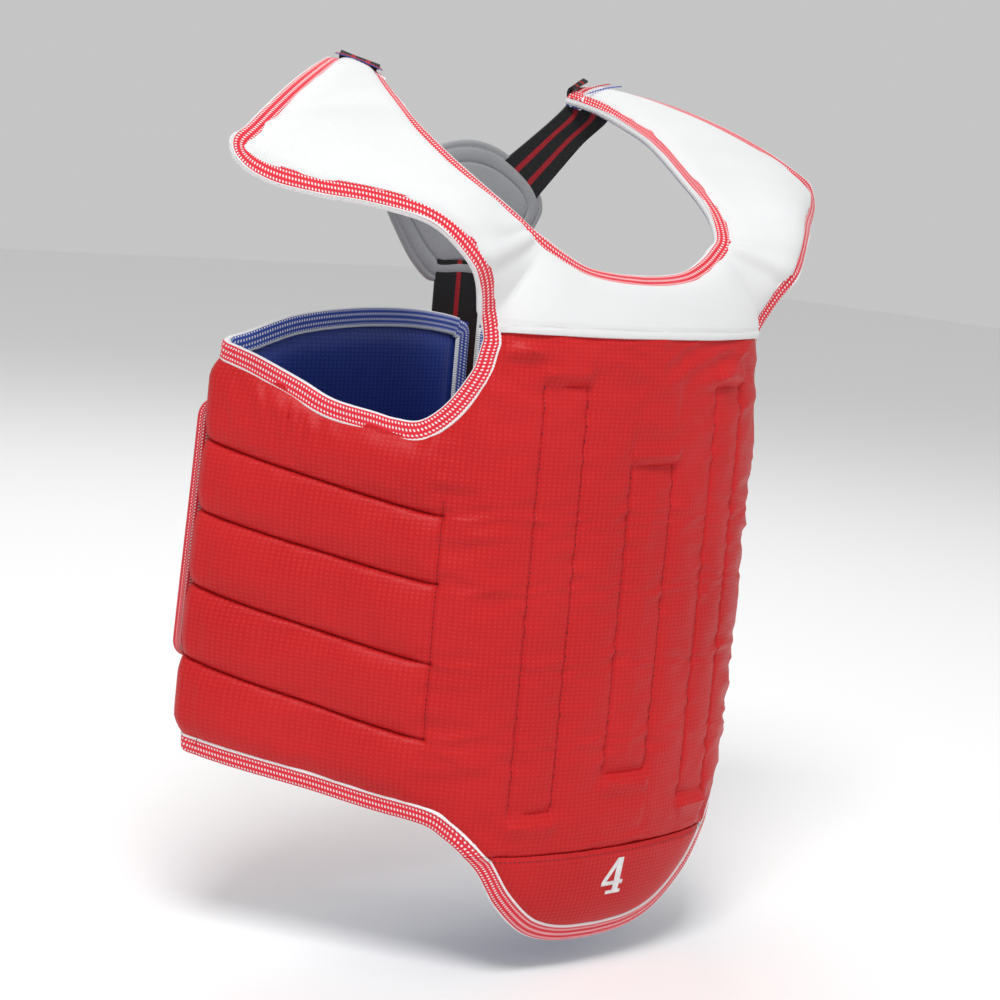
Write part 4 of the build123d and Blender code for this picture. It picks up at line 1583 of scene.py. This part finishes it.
@dataclass
class GroinFlap:
    """Flap below the chest seam, leaning back from it."""

    pattern: GuardPattern
    tuck: float = 13 * MM
    number_tall: float = 26 * MM
    number_top: float = -219 * MM

    @property
    def bend(self) -> tuple:
        """Points below the seam that mark the flap's bend away from the vest; dress takes them but does not
        bend the flap.
        """
        seam = self.pattern.flap_seam
        return (0, 0, seam), (0, 0, seam - 24 * MM)

    def depth(self, height: np.ndarray) -> np.ndarray:
        """How far the flap leans back at a height."""
        return self.tuck * np.clip((self.pattern.flap_seam - height) / (62 * MM), 0, 1.2) ** 1.6

    def face_relief(self, along: np.ndarray, height: np.ndarray) -> np.ndarray:
        """How far the red face stands out from the leaning wall line.

        Args:
            along: Places along the wall.
            height: Their heights.

        Returns:
            The outward displacement at each place.
        """
        edge = self.pattern.flap_edge()
        from_edge = distance_to(np.stack([np.abs(along), height], axis=-1), edge)
        below = self.pattern.flap_seam - height
        out = -5.5 * MM * (1 - rounding(from_edge - 11.4 * MM, 24 * MM))
        out -= 2.4 * MM * (1 - rounding(below, 8 * MM))
        gathers = ripples(along, height, 11 * MM, 60 * MM, 51) * np.exp(-below / (12 * MM))
        return out + 0.45 * MM * gathers + 0.3 * MM * ripples(along + height, height, 40 * MM, 90 * MM, 52)

    def panels(self) -> None:
        """Red face and blue back."""
        edge = self.pattern.flap_edge()
        half = np.sin(np.linspace(0, np.pi / 2, 54)) * (edge[-1, 0] - 0.8 * MM)
        columns = np.concatenate([-half[:0:-1], half])
        foot = np.interp(np.abs(columns), edge[:, 0], edge[:, 1]) + 0.7 * MM
        share = np.linspace(0, 1, 34)[:, None]
        height = foot * (1 - share) + (self.pattern.flap_seam - 0.4 * MM) * share
        along = np.broadcast_to(columns, height.shape)
        relief, lean = self.face_relief(along, height), self.depth(height)
        wall = self.pattern.wall
        face = wall.place(along, height, lean - relief)
        middle = wall.place(along, height, lean + 8.2 * MM)
        back = wall.place(along, height, lean + np.clip(16 * MM + 0.9 * relief, 9.9 * MM, None))
        uv = np.stack([along, height], axis=2)
        outer = make_slab("flap_outer_padding", face, middle, uv)
        nodes = ["flap_outer_cover", "flap_foam"]
        dress(outer, RED_VINYL.material(), "groin_flap", nodes, self.bend)
        inner = make_slab("flap_inner_padding", wall.place(along, height, lean + 8.3 * MM), back, uv)
        dress(inner, BLUE_VINYL.material(), "groin_flap", ["flap_inner_cover"], self.bend)

    def tape(self) -> None:
        """Binding round the flap's edge."""
        edge = self.pattern.flap_edge()
        path = np.concatenate([edge[::-1] * (-1, 1), edge[1:]])
        ahead = unit(softened(np.gradient(path, axis=0), 4))
        inward = np.stack([-ahead[:, 1], ahead[:, 0]], axis=1)
        reach, depth = self.pattern.tape_section()
        spots = path[:, None] + self.pattern.mitred(path, inward)[:, None] * reach[None, :, None]
        height = np.minimum(spots[..., 1], self.pattern.flap_seam - 0.3 * MM)
        sections = self.pattern.wall.place(spots[..., 0], height, depth[None] + self.depth(height))
        piece = make_ribbon("flap_tape", sections, net_uv(sections), 0.8 * MM)
        dress(piece, TAPE.material(), "groin_flap", ["flap_binding"], self.bend)

    def number(self) -> None:
        """Size number, printed on the flap."""
        outline = [(0.30, 0), (1.0, 0), (1.0, 0.13), (0.86, 0.13), (0.86, 0.34), (1.02, 0.34), (1.02, 0.49)]
        outline += [(0.86, 0.49), (0.86, 1.35), (0.60, 1.35), (0, 0.50), (0, 0.34)]
        outline += [(0.58, 0.34), (0.58, 0.13), (0.30, 0.13)]
        hole = [(0.20, 0.49), (0.58, 0.49), (0.58, 1.04)]
        curve = bpy.data.curves.new("size_number", "CURVE")
        curve.dimensions, curve.fill_mode = "2D", "BOTH"
        curve.extrude = 0.15 * MM
        size = self.number_tall / 1.35
        for ring in (outline, hole):
            spline = curve.splines.new("POLY")
            spline.points.add(len(ring) - 1)
            for point, (x, y) in zip(spline.points, ring):
                point.co = (size * (x - 0.5), size * y, 0, 1)
            spline.use_cyclic_u = True
        number = bpy.data.objects.new("size_number", curve)
        bpy.context.scene.collection.objects.link(number)
        activate(number)
        bpy.ops.object.convert(target="MESH")
        number = bpy.context.object
        flat = np.array([vertex.co for vertex in number.data.vertices])
        along, height = flat[:, 0], self.number_top - self.number_tall + flat[:, 1]
        relief = self.face_relief(along, height)
        depth = self.depth(height) - relief - 0.25 * MM - flat[:, 2]
        placed = self.pattern.wall.place(along, height, depth)
        number.data.vertices.foreach_set("co", placed.reshape(-1).astype(np.float32))
        number.data.update()
        close_and_smooth(number, 30.0, merge=0.01 * MM)
        dress(number, WHITE_INK.material(), "groin_flap", [])

    def seam_thread(self) -> None:
        """Dark red stitching under the flap's seam."""
        along = np.linspace(-112 * MM, 112 * MM, 120)
        height = np.full(along.shape, self.pattern.flap_seam - 3.5 * MM)
        depth = self.depth(height) - self.face_relief(along, height) - 0.05 * MM
        line = self.pattern.wall.place(along, height, depth)
        piece = StitchShape().sew("flap_thread", [(line, self.pattern.wall.outward(along))])
        dress(piece, RED_THREAD.material(), "groin_flap", [])

    def build(self) -> None:
        """Make every piece of the flap."""
        self.panels()
        self.tape()
        self.number()
        self.seam_thread()


@dataclass
class BackWing:
    """Back panel of one side, sewn to the side panel at the back corner and free at its far end."""

    pattern: GuardPattern
    side: Side
    rows: tuple = (20, 18, 18, 18, 24)
    thick: float = 11.6 * MM
    sink: float = 2.0 * MM

    @property
    def body(self) -> str:
        """Name of the wing's body."""
        return f"{self.side.word}_wing"

    @property
    def bend(self) -> tuple:
        """Points at the back corner that mark the wing's bend away from the vest; dress takes them but does
        not bend the wing.
        """
        sign = self.side.value
        return (sign * 0.216, 0.027, 0), (sign * 0.197, 0.050, 0)

    def settle_depth(self, walked: np.ndarray) -> np.ndarray:
        """How far the wing's outer face lies inside the wall line once it is past the corner."""
        return self.sink * ease(walked, self.pattern.split + 8 * MM, self.pattern.wall.wing_start + 20 * MM)

    def panels(self) -> None:
        """Red outer face and blue inner face, round the corner and across the back."""
        pattern, wall = self.pattern, self.pattern.wall
        end = wall.along_at_wing_x(pattern.wing_end) - 0.8 * MM
        turn = np.arange(pattern.split, wall.wing_start + 6 * MM, 1.5 * MM)
        walked = np.concatenate([turn, np.linspace(wall.wing_start + 7 * MM, end, 66)])
        top, foot = pattern.wing_top(), pattern.wing_foot()
        high = np.interp(walked, top[:, 0], top[:, 1]) - 0.7 * MM
        low = np.interp(walked, foot[:, 0], foot[:, 1]) + 0.7 * MM
        levels = [low] + [pattern.quilt_height(line, walked) for line in pattern.quilt[::-1]] + [high]
        rows = [low[None]]
        for below, above, count in zip(levels[:-1], levels[1:], self.rows):
            rows.append(below + (above - below) * crowded(count, 0.6)[1:, None])
        height = np.concatenate(rows)
        order = walked if self.side is Side.LEFT else walked[::-1]
        height = height if self.side is Side.LEFT else height[:, ::-1]
        along = np.broadcast_to(self.side.value * order, height.shape)
        relief = pattern.relief(along, height) - 2.0 * MM * ease(np.abs(along), 330 * MM, 350 * MM)
        relief = np.minimum(relief, 2.2 * MM)
        settle_in = self.settle_depth(np.abs(along))
        face = wall.place(along, height, settle_in - relief)
        middle = wall.place(along, height, settle_in + 7.4 * MM)
        inner = wall.place(along, height, settle_in + np.clip(self.thick + 0.8 * relief, 8.6 * MM, 12 * MM))
        uv = np.stack([along, height], axis=2)
        word = self.side.word
        outer_piece = make_slab(f"{word}_wing_outer_padding", face, middle, uv)
        nodes = [f"{word}_wing_outer_cover", f"{word}_wing_foam"]
        dress(outer_piece, RED_VINYL.material(), self.body, nodes, self.bend)
        inner_piece = make_slab(
            f"{word}_wing_inner_padding", wall.place(along, height, settle_in + 7.5 * MM), inner, uv
        )
        nodes = [f"{word}_wing_inner_cover"]
        dress(inner_piece, BLUE_VINYL.material(), self.body, nodes, self.bend)

    def tape(self) -> None:
        """Binding along the top, down the free end and back along the foot."""
        top, foot = self.pattern.wing_top(), self.pattern.wing_foot()
        corner = 9 * MM
        reach = top[-1, 0]
        path = [top[top[:, 0] < reach - corner]]
        for middle_z, start in ((top[-1, 1] - corner, 90), (foot[-1, 1] + corner, 0)):
            angles = np.radians(np.linspace(start, start - 90, 10))
            round_x = reach - corner + corner * np.cos(angles)
            path.append(
                np.stack([round_x, middle_z + corner * np.sin(angles)], axis=1)
            )
        path.append(foot[foot[:, 0] < reach - corner][::-1])
        path = even_line(np.vstack(path), 2 * MM)
        ahead = unit(softened(np.gradient(path, axis=0), 3))
        inward = np.stack([ahead[:, 1], -ahead[:, 0]], axis=1)
        across, depth = self.pattern.tape_section()
        spots = path[:, None] + inward[:, None] * across[None, :, None]
        settle_in = self.settle_depth(spots[..., 0])
        depth = settle_in + depth[None]
        sections = self.pattern.wall.place(self.side.value * spots[..., 0], spots[..., 1], depth)
        piece = make_ribbon(f"{self.side.word}_wing_tape", sections, net_uv(sections), 0.8 * MM)
        nodes = [f"{self.side.word}_wing_binding"]
        dress(piece, TAPE.material(), self.body, nodes, self.bend)

    def build(self) -> None:
        """Make the wing's panels and its binding."""
        self.panels()
        self.tape()


@dataclass
class Closure:
    """Tab of the left wing that closes across the right one, with its hook-and-loop patches."""

    wall: WallLine = WallLine()
    corner: float = 12 * MM
    swell: float = 0.5 * MM
    tape: float = 10 * MM

    def outline(self, inset: float) -> tuple[float, float, float, float]:
        """Left, right, foot and top of the tab's outline, moved in by a distance on three sides."""
        low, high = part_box("closure_tab_binding")
        return low.x + inset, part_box("closure_tab")[1].x, low.z + inset, high.z - inset

    def slanted(self, x: np.ndarray, z: np.ndarray) -> np.ndarray:
        """Places across the tab, with its far end drawn out beside the flared back corner."""
        return x - (self.wall.flare(z) - 4 * MM) * ease(x, -150 * MM, -214 * MM)

    def panel(self) -> None:
        """Thin padded red panel."""
        far, near, foot, top = self.outline(self.tape - 1.5 * MM)
        low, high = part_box("closure_tab_binding")
        x = np.linspace(near, far, 96)
        z = np.linspace(foot, top, 60)
        grid_x, grid_z = np.meshgrid(x, z)
        away = np.minimum(np.minimum(grid_x - far, grid_z - foot), top - grid_z)
        swell = self.swell * rounding(away, 14 * MM)
        swell = swell + 0.25 * MM * ripples(grid_z, grid_x, 26 * MM, 90 * MM, 61)
        slanted = self.slanted(grid_x, grid_z)
        face = np.stack([slanted, high.y - 0.4 * MM + swell, grid_z], axis=2)
        back = np.stack([slanted, np.full(grid_x.shape, low.y + 0.3 * MM), grid_z], axis=2)
        piece = make_slab("closure_tab_panel", face, back, np.stack([grid_x, grid_z], axis=2))
        dress(piece, RED_VINYL.material(), "left_wing", ["closure_tab"])

    def root_thread(self) -> None:
        """Two rows of stitching that hold the tab to the left wing."""
        _, near, foot, top = self.outline(self.tape + 2 * MM)
        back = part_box("closure_tab_binding")[1].y
        rows = []
        for x in (near - 4 * MM, near - 10 * MM):
            line = np.array([(x, back + 0.15 * MM, z) for z in np.linspace(foot, top, 50)])
            rows.append((line, np.tile((0.0, 1.0, 0.0), (50, 1))))
        piece = StitchShape().sew("tab_thread", rows)
        dress(piece, RED_THREAD.material(), "left_wing", [])

    def binding(self) -> None:
        """Tape round the three free sides of the tab."""
        far, near, foot, top = self.outline(0.0)
        low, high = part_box("closure_tab_binding")
        path = [np.array([(near, top)])]
        for middle_z, start in ((top - self.corner, 90), (foot + self.corner, 180)):
            angles = np.radians(np.linspace(start, start + 90, 12))
            ring = np.stack([far + self.corner + self.corner * np.cos(angles),
                             middle_z + self.corner * np.sin(angles)], axis=1)
            path.append(ring)
        path.append(np.array([(near, foot)]))
        path = even_line(np.vstack(path), 2 * MM)
        ahead = unit(softened(np.gradient(path, axis=0), 2))
        inward = np.stack([-ahead[:, 1], ahead[:, 0]], axis=1)
        middle, half = (low.y + high.y) / 2, (high.y - low.y) / 2 - 0.2 * MM
        turn = np.radians(np.linspace(90, -90, 7))
        leg = np.array([10.6, 9.8, 7.5, 5.0, 2.5]) * MM
        reach = np.concatenate([leg, half * (1 - np.cos(turn)), leg[::-1]])
        rise = np.concatenate([np.full(5, half), half * np.sin(turn), np.full(5, -half)])
        rise[0], rise[-1] = half - 0.5 * MM, -half + 0.5 * MM
        spots = path[:, None] + inward[:, None] * reach[None, :, None]
        depth = np.broadcast_to(middle + rise[None], spots.shape[:2])
        sections = np.stack([self.slanted(spots[..., 0], spots[..., 1]), depth, spots[..., 1]], axis=2)
        piece = make_ribbon("closure_tab_tape", sections, net_uv(sections), 0.6 * MM)
        dress(piece, RED_TAPE.material(), "left_wing", ["closure_tab_binding"])

    def patches(self) -> None:
        """Give the hook-and-loop patches their fuzzy finish."""
        for name in ("wing_loop_patch", "closure_hook_patch", "tail_loop_patch", "tail_hook_patch"):
            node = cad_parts[name]
            node.data.materials.clear()
            node.data.materials.append(HOOK_TAPE.material())

    def build(self) -> None:
        """Make the tab and finish its patches."""
        self.panel()
        self.root_thread()
        self.binding()
        self.patches()


@dataclass
class BackHarness:
    """Padded plate between the shoulder blades, its two shoulder straps and its lower strap."""

    halves: dict[Side, YokeHalf]
    strap_thick: float = 1.7 * MM
    outline: tuple = (
        (0, 147), (24, 147), (34, 150.5), (48, 163), (61, 180), (71, 195), (73.5, 204), (69, 215), (58, 226),
        (40, 238), (25, 244.5), (12, 247.5), (0, 248.5),
    )
    stitch_insets: tuple = (5 * MM, 16 * MM)

    @property
    def behind(self) -> float:
        """Place from front to back of the straps' front faces."""
        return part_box("lower_strap")[0].y

    def rim(self) -> np.ndarray:
        """Closed outline of the plate, as (x, z)."""
        half = list(self.outline)
        ring = half + [(-x, z) for x, z in half[-2::-1]]
        return smooth_line(ring, 3 * MM)[:-1]

    def rings(self, insets: np.ndarray) -> np.ndarray:
        """The outline shrunk towards the plate's middle by each distance, as rings of (x, z).

        Args:
            insets: Distances in from the rim.

        Returns:
            One ring of points for each distance.
        """
        rim = self.rim()
        centre = np.array((0.0, 0.197))
        reach = np.linalg.norm(rim - centre, axis=1)
        shares = np.clip(1 - insets[:, None] / reach[None, :], 0, 1)
        deepest = shares[-1]
        fade = ease(insets, 20 * MM, insets[-1])[:, None]
        shares = shares * (1 - fade) + np.minimum(shares, deepest + 1 - fade) * fade
        return centre + shares[..., None] * (rim - centre)

    def swell(self, inset: np.ndarray) -> np.ndarray:
        """Half thickness of the plate at a distance in from its rim."""
        first, second = self.stitch_insets
        roll = 0.8 * MM * np.sin(np.pi * np.clip((inset - first) / (second - first), 0, 1))
        middle = 1.5 * MM * rounding(inset - second, 16 * MM)
        grooves = sum(0.45 * MM * np.exp(-(((inset - at) / (0.9 * MM)) ** 2)) for at in self.stitch_insets)
        return 2.1 * MM * rounding(inset, 2.5 * MM) + roll + middle - grooves

    def plate(self) -> None:
        """Grey leather plate with a padded roll inside its double stitching."""
        low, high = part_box("back_pad_inner")[0].y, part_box("back_pad_outer")[1].y
        centre_y = (low + high) / 2
        insets = np.concatenate([np.linspace(0, 24, 31), np.linspace(25.5, 46, 12)]) * MM
        rings = self.rings(insets)
        nets = []
        for way in (-1, 1):
            y = centre_y + way * self.swell(insets)[:, None] + 0 * rings[..., 0]
            nets.append(np.stack([rings[..., 0], y, rings[..., 1]], axis=2))
        net = np.concatenate([nets[0][::-1], nets[1]])
        net[0], net[-1] = net[0].mean(axis=0), net[-1].mean(axis=0)
        net = np.concatenate([net, net[:, :1]], axis=1)
        plate = make_sheet("back_pad", net, net[..., ::2])
        close_and_smooth(plate, 70.0, merge=0.02 * MM)
        dress(plate, LEATHER.material(), "back_harness",
              ["back_pad_inner", "back_pad_core", "back_pad_outer"])
        lines = []
        for inset in self.stitch_insets:
            ring = self.rings(np.array([inset, 46 * MM]))[0]
            ring = np.vstack([ring, ring[:1]])
            for way in (-1, 1):
                y = np.full(len(ring), centre_y + way * (self.swell(np.array([inset]))[0] + 0.05 * MM))
                line = np.stack([ring[:, 0], y, ring[:, 1]], axis=1)
                lines.append((line, np.tile((0.0, float(way), 0.0), (len(ring), 1))))
        thread = StitchShape(pitch=4.0 * MM, length=2.2 * MM, thread=0.45 * MM).sew("back_pad_thread", lines)
        dress(thread, GREY_THREAD.material(), "back_harness", [])

    def webbing(self, name: str, left: np.ndarray, right: np.ndarray, finish: Finish) -> bpy.types.Object:
        """Flat strap between two edge lines.

        Args:
            name: Name of the piece.
            left: One edge of the strap.
            right: The other, with as many points.
            finish: Its finish.

        Returns:
            The strap, not yet given a body.
        """
        share = np.linspace(0, 1, 13)[None, :, None]
        sections = left[:, None] * (1 - share) + right[:, None] * share
        piece = make_ribbon(name, sections, net_uv(sections), self.strap_thick)
        piece.data.materials.clear()
        piece.data.materials.append(finish.material())
        return piece

    def shoulder_strap(self, side: Side) -> None:
        """Strap sewn on top of the shoulder's tip, over its end and down to the plate.

        Args:
            side: Side of the wearer.
        """
        half, sign = self.halves[side], side.value
        hang = (self.behind + self.strap_thick) / MM
        edges = []
        inner_low, outer_low = [(90, 281), (70, 264), (31, 235)], [(132, 276), (104, 250), (62, 207)]
        for share, low in ((0.16, inner_low), (0.80, outer_low)):
            shown = [8.72, 8.82, 8.92, 9.0] if side is Side.RIGHT else [8.92, 8.95, 8.98, 9.0]
            stations = np.array(shown)
            net = half.surface(stations, np.array([share - 0.05, share, share + 0.05]))
            facing = half.outward(net)[:, 1]
            on_top = net[:, 1] + facing * 0.7 * MM
            on_top[0] -= facing[0] * 1.2 * MM
            tip = net[-1, 1] / MM
            knots = list(on_top / MM) + [tip + (0, 2.4, -2.5), tip + (0, 1.5, -9)]
            knots += [(sign * x, hang, z) for x, z in low]
            edges.append(smooth_line(knots, 2.5 * MM))
        count = len(edges[0])
        inner = even_line(edges[0], lengths_along(edges[0])[-1] / count)
        outer = even_line(edges[1], lengths_along(edges[1])[-1] / count)
        count = min(len(inner), len(outer))
        piece = self.webbing(f"{side.word}_shoulder_webbing", inner[:count], outer[:count], SHOULDER_ELASTIC)
        piece.parent = None
        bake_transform(piece)
        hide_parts(f"{side.word}_shoulder_strap")
        LOG.info("%s bends at the shoulder", piece.name)

    def lower_strap(self) -> None:
        """Strap from under the plate down behind the closure."""
        low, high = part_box("lower_strap")
        y = (low.y + high.y) / 2
        height = np.linspace(0.163, low.z, 70)
        left, right = (np.stack([np.full(70, x), np.full(70, y), height], axis=1) for x in (low.x, high.x))
        piece = self.webbing("lower_webbing", left, right, LOWER_ELASTIC)
        dress(piece, LOWER_ELASTIC.material(), "back_harness", ["lower_strap"])

    def build(self) -> None:
        """Make the plate and its straps."""
        self.plate()
        for side in Side:
            self.shoulder_strap(side)
        self.lower_strap()


# Studio


@dataclass(frozen=True)
class Studio:
    """Pale floor, soft lights and the camera."""

    azimuth: float = math.radians(42.0)
    elevation: float = math.radians(8.205)
    roll: float = math.radians(5.065)
    distance: float = 1.702
    lens: float = 87.08
    ambient: float = 0.56
    floor_gap: float = 0.02
    floor_side: float = 14.0
    floor_grey: float = 0.92

    def camera(self) -> None:
        """Camera looking at the middle of the chest from the wearer's right."""
        across, tilt = self.azimuth, self.elevation
        level_reach = math.cos(tilt)
        back = (-math.sin(across) * level_reach, -math.cos(across) * level_reach, math.sin(tilt))
        back = np.array(back)
        level = np.array((math.cos(across), -math.sin(across), 0.0))
        upright = np.cross(back, level)
        right = level * math.cos(self.roll) + upright * math.sin(self.roll)
        above = upright * math.cos(self.roll) - level * math.sin(self.roll)
        data = bpy.data.cameras.new("camera")
        data.lens, data.sensor_width = self.lens, 36.0
        camera = bpy.data.objects.new("camera", data)
        bpy.context.scene.collection.objects.link(camera)
        rotation = np.stack([right, above, back], axis=1)
        place = np.eye(4)
        place[:3, :3], place[:3, 3] = rotation, back * self.distance
        camera.matrix_world = Matrix(place.tolist())
        bpy.context.scene.camera = camera

    def light(self, name: str, place: tuple, size: float, power: float) -> None:
        """Add a square soft light that faces the guard.

        Args:
            name: Name of the lamp.
            place: Where it stands.
            size: Side of its square.
            power: Power in watts.
        """
        data = bpy.data.lights.new(name, "AREA")
        data.shape, data.size, data.energy = "SQUARE", size, power
        lamp = bpy.data.objects.new(name, data)
        bpy.context.scene.collection.objects.link(lamp)
        lamp.location = place
        away = -np.array(place) / np.linalg.norm(place)
        lamp.rotation_euler = Vector(away).to_track_quat("-Z", "Y").to_euler()

    def build(self) -> None:
        """Set the whole studio."""
        self.camera()
        floor_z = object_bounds()[0][2] - self.floor_gap
        bpy.ops.object.select_all(action="DESELECT")
        bpy.ops.mesh.primitive_plane_add(size=self.floor_side, location=(0, 0, floor_z))
        floor = bpy.context.object
        floor.name = "studio_floor"
        paint = bpy.data.materials.new("pale_floor")
        paint.use_nodes = True
        shader = paint.node_tree.nodes["Principled BSDF"]
        shader.inputs["Base Color"].default_value = (*[self.floor_grey] * 3, 1)
        shader.inputs["Roughness"].default_value = 0.9
        floor.data.materials.append(paint)
        floor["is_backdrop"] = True
        world = bpy.data.worlds.new("studio")
        world.use_nodes = True
        world.node_tree.nodes["Background"].inputs[0].default_value = (1, 1, 1, 1)
        world.node_tree.nodes["Background"].inputs[1].default_value = self.ambient
        bpy.context.scene.world = world
        bpy.context.scene.view_settings.view_transform = "Standard"
        self.light("key", (-1.3, -1.2, 2.5), 1.0, 62)
        self.light("fill", (0.9, -2.8, 0.9), 1.6, 7)
        self.light("rim", (0.9, 1.7, 2.0), 1.4, 20)


def main() -> None:
    """Build the studio and every sub-assembly of the guard."""
    logging.basicConfig(level=logging.INFO, format="%(message)s")
    Studio().build()
    Groups.build()
    pattern = GuardPattern()
    Vest(pattern).build()
    halves = {side: YokeHalf(pattern, side) for side in Side}
    for half in halves.values():
        half.panels()
        half.seam_thread()
        half.tip_thread()
    Bindings(pattern, halves).build()
    GroinFlap(pattern).build()
    for side in Side:
        BackWing(pattern, side).build()
    Closure().build()
    BackHarness(halves).build()


if __name__ == "__main__":
    main()
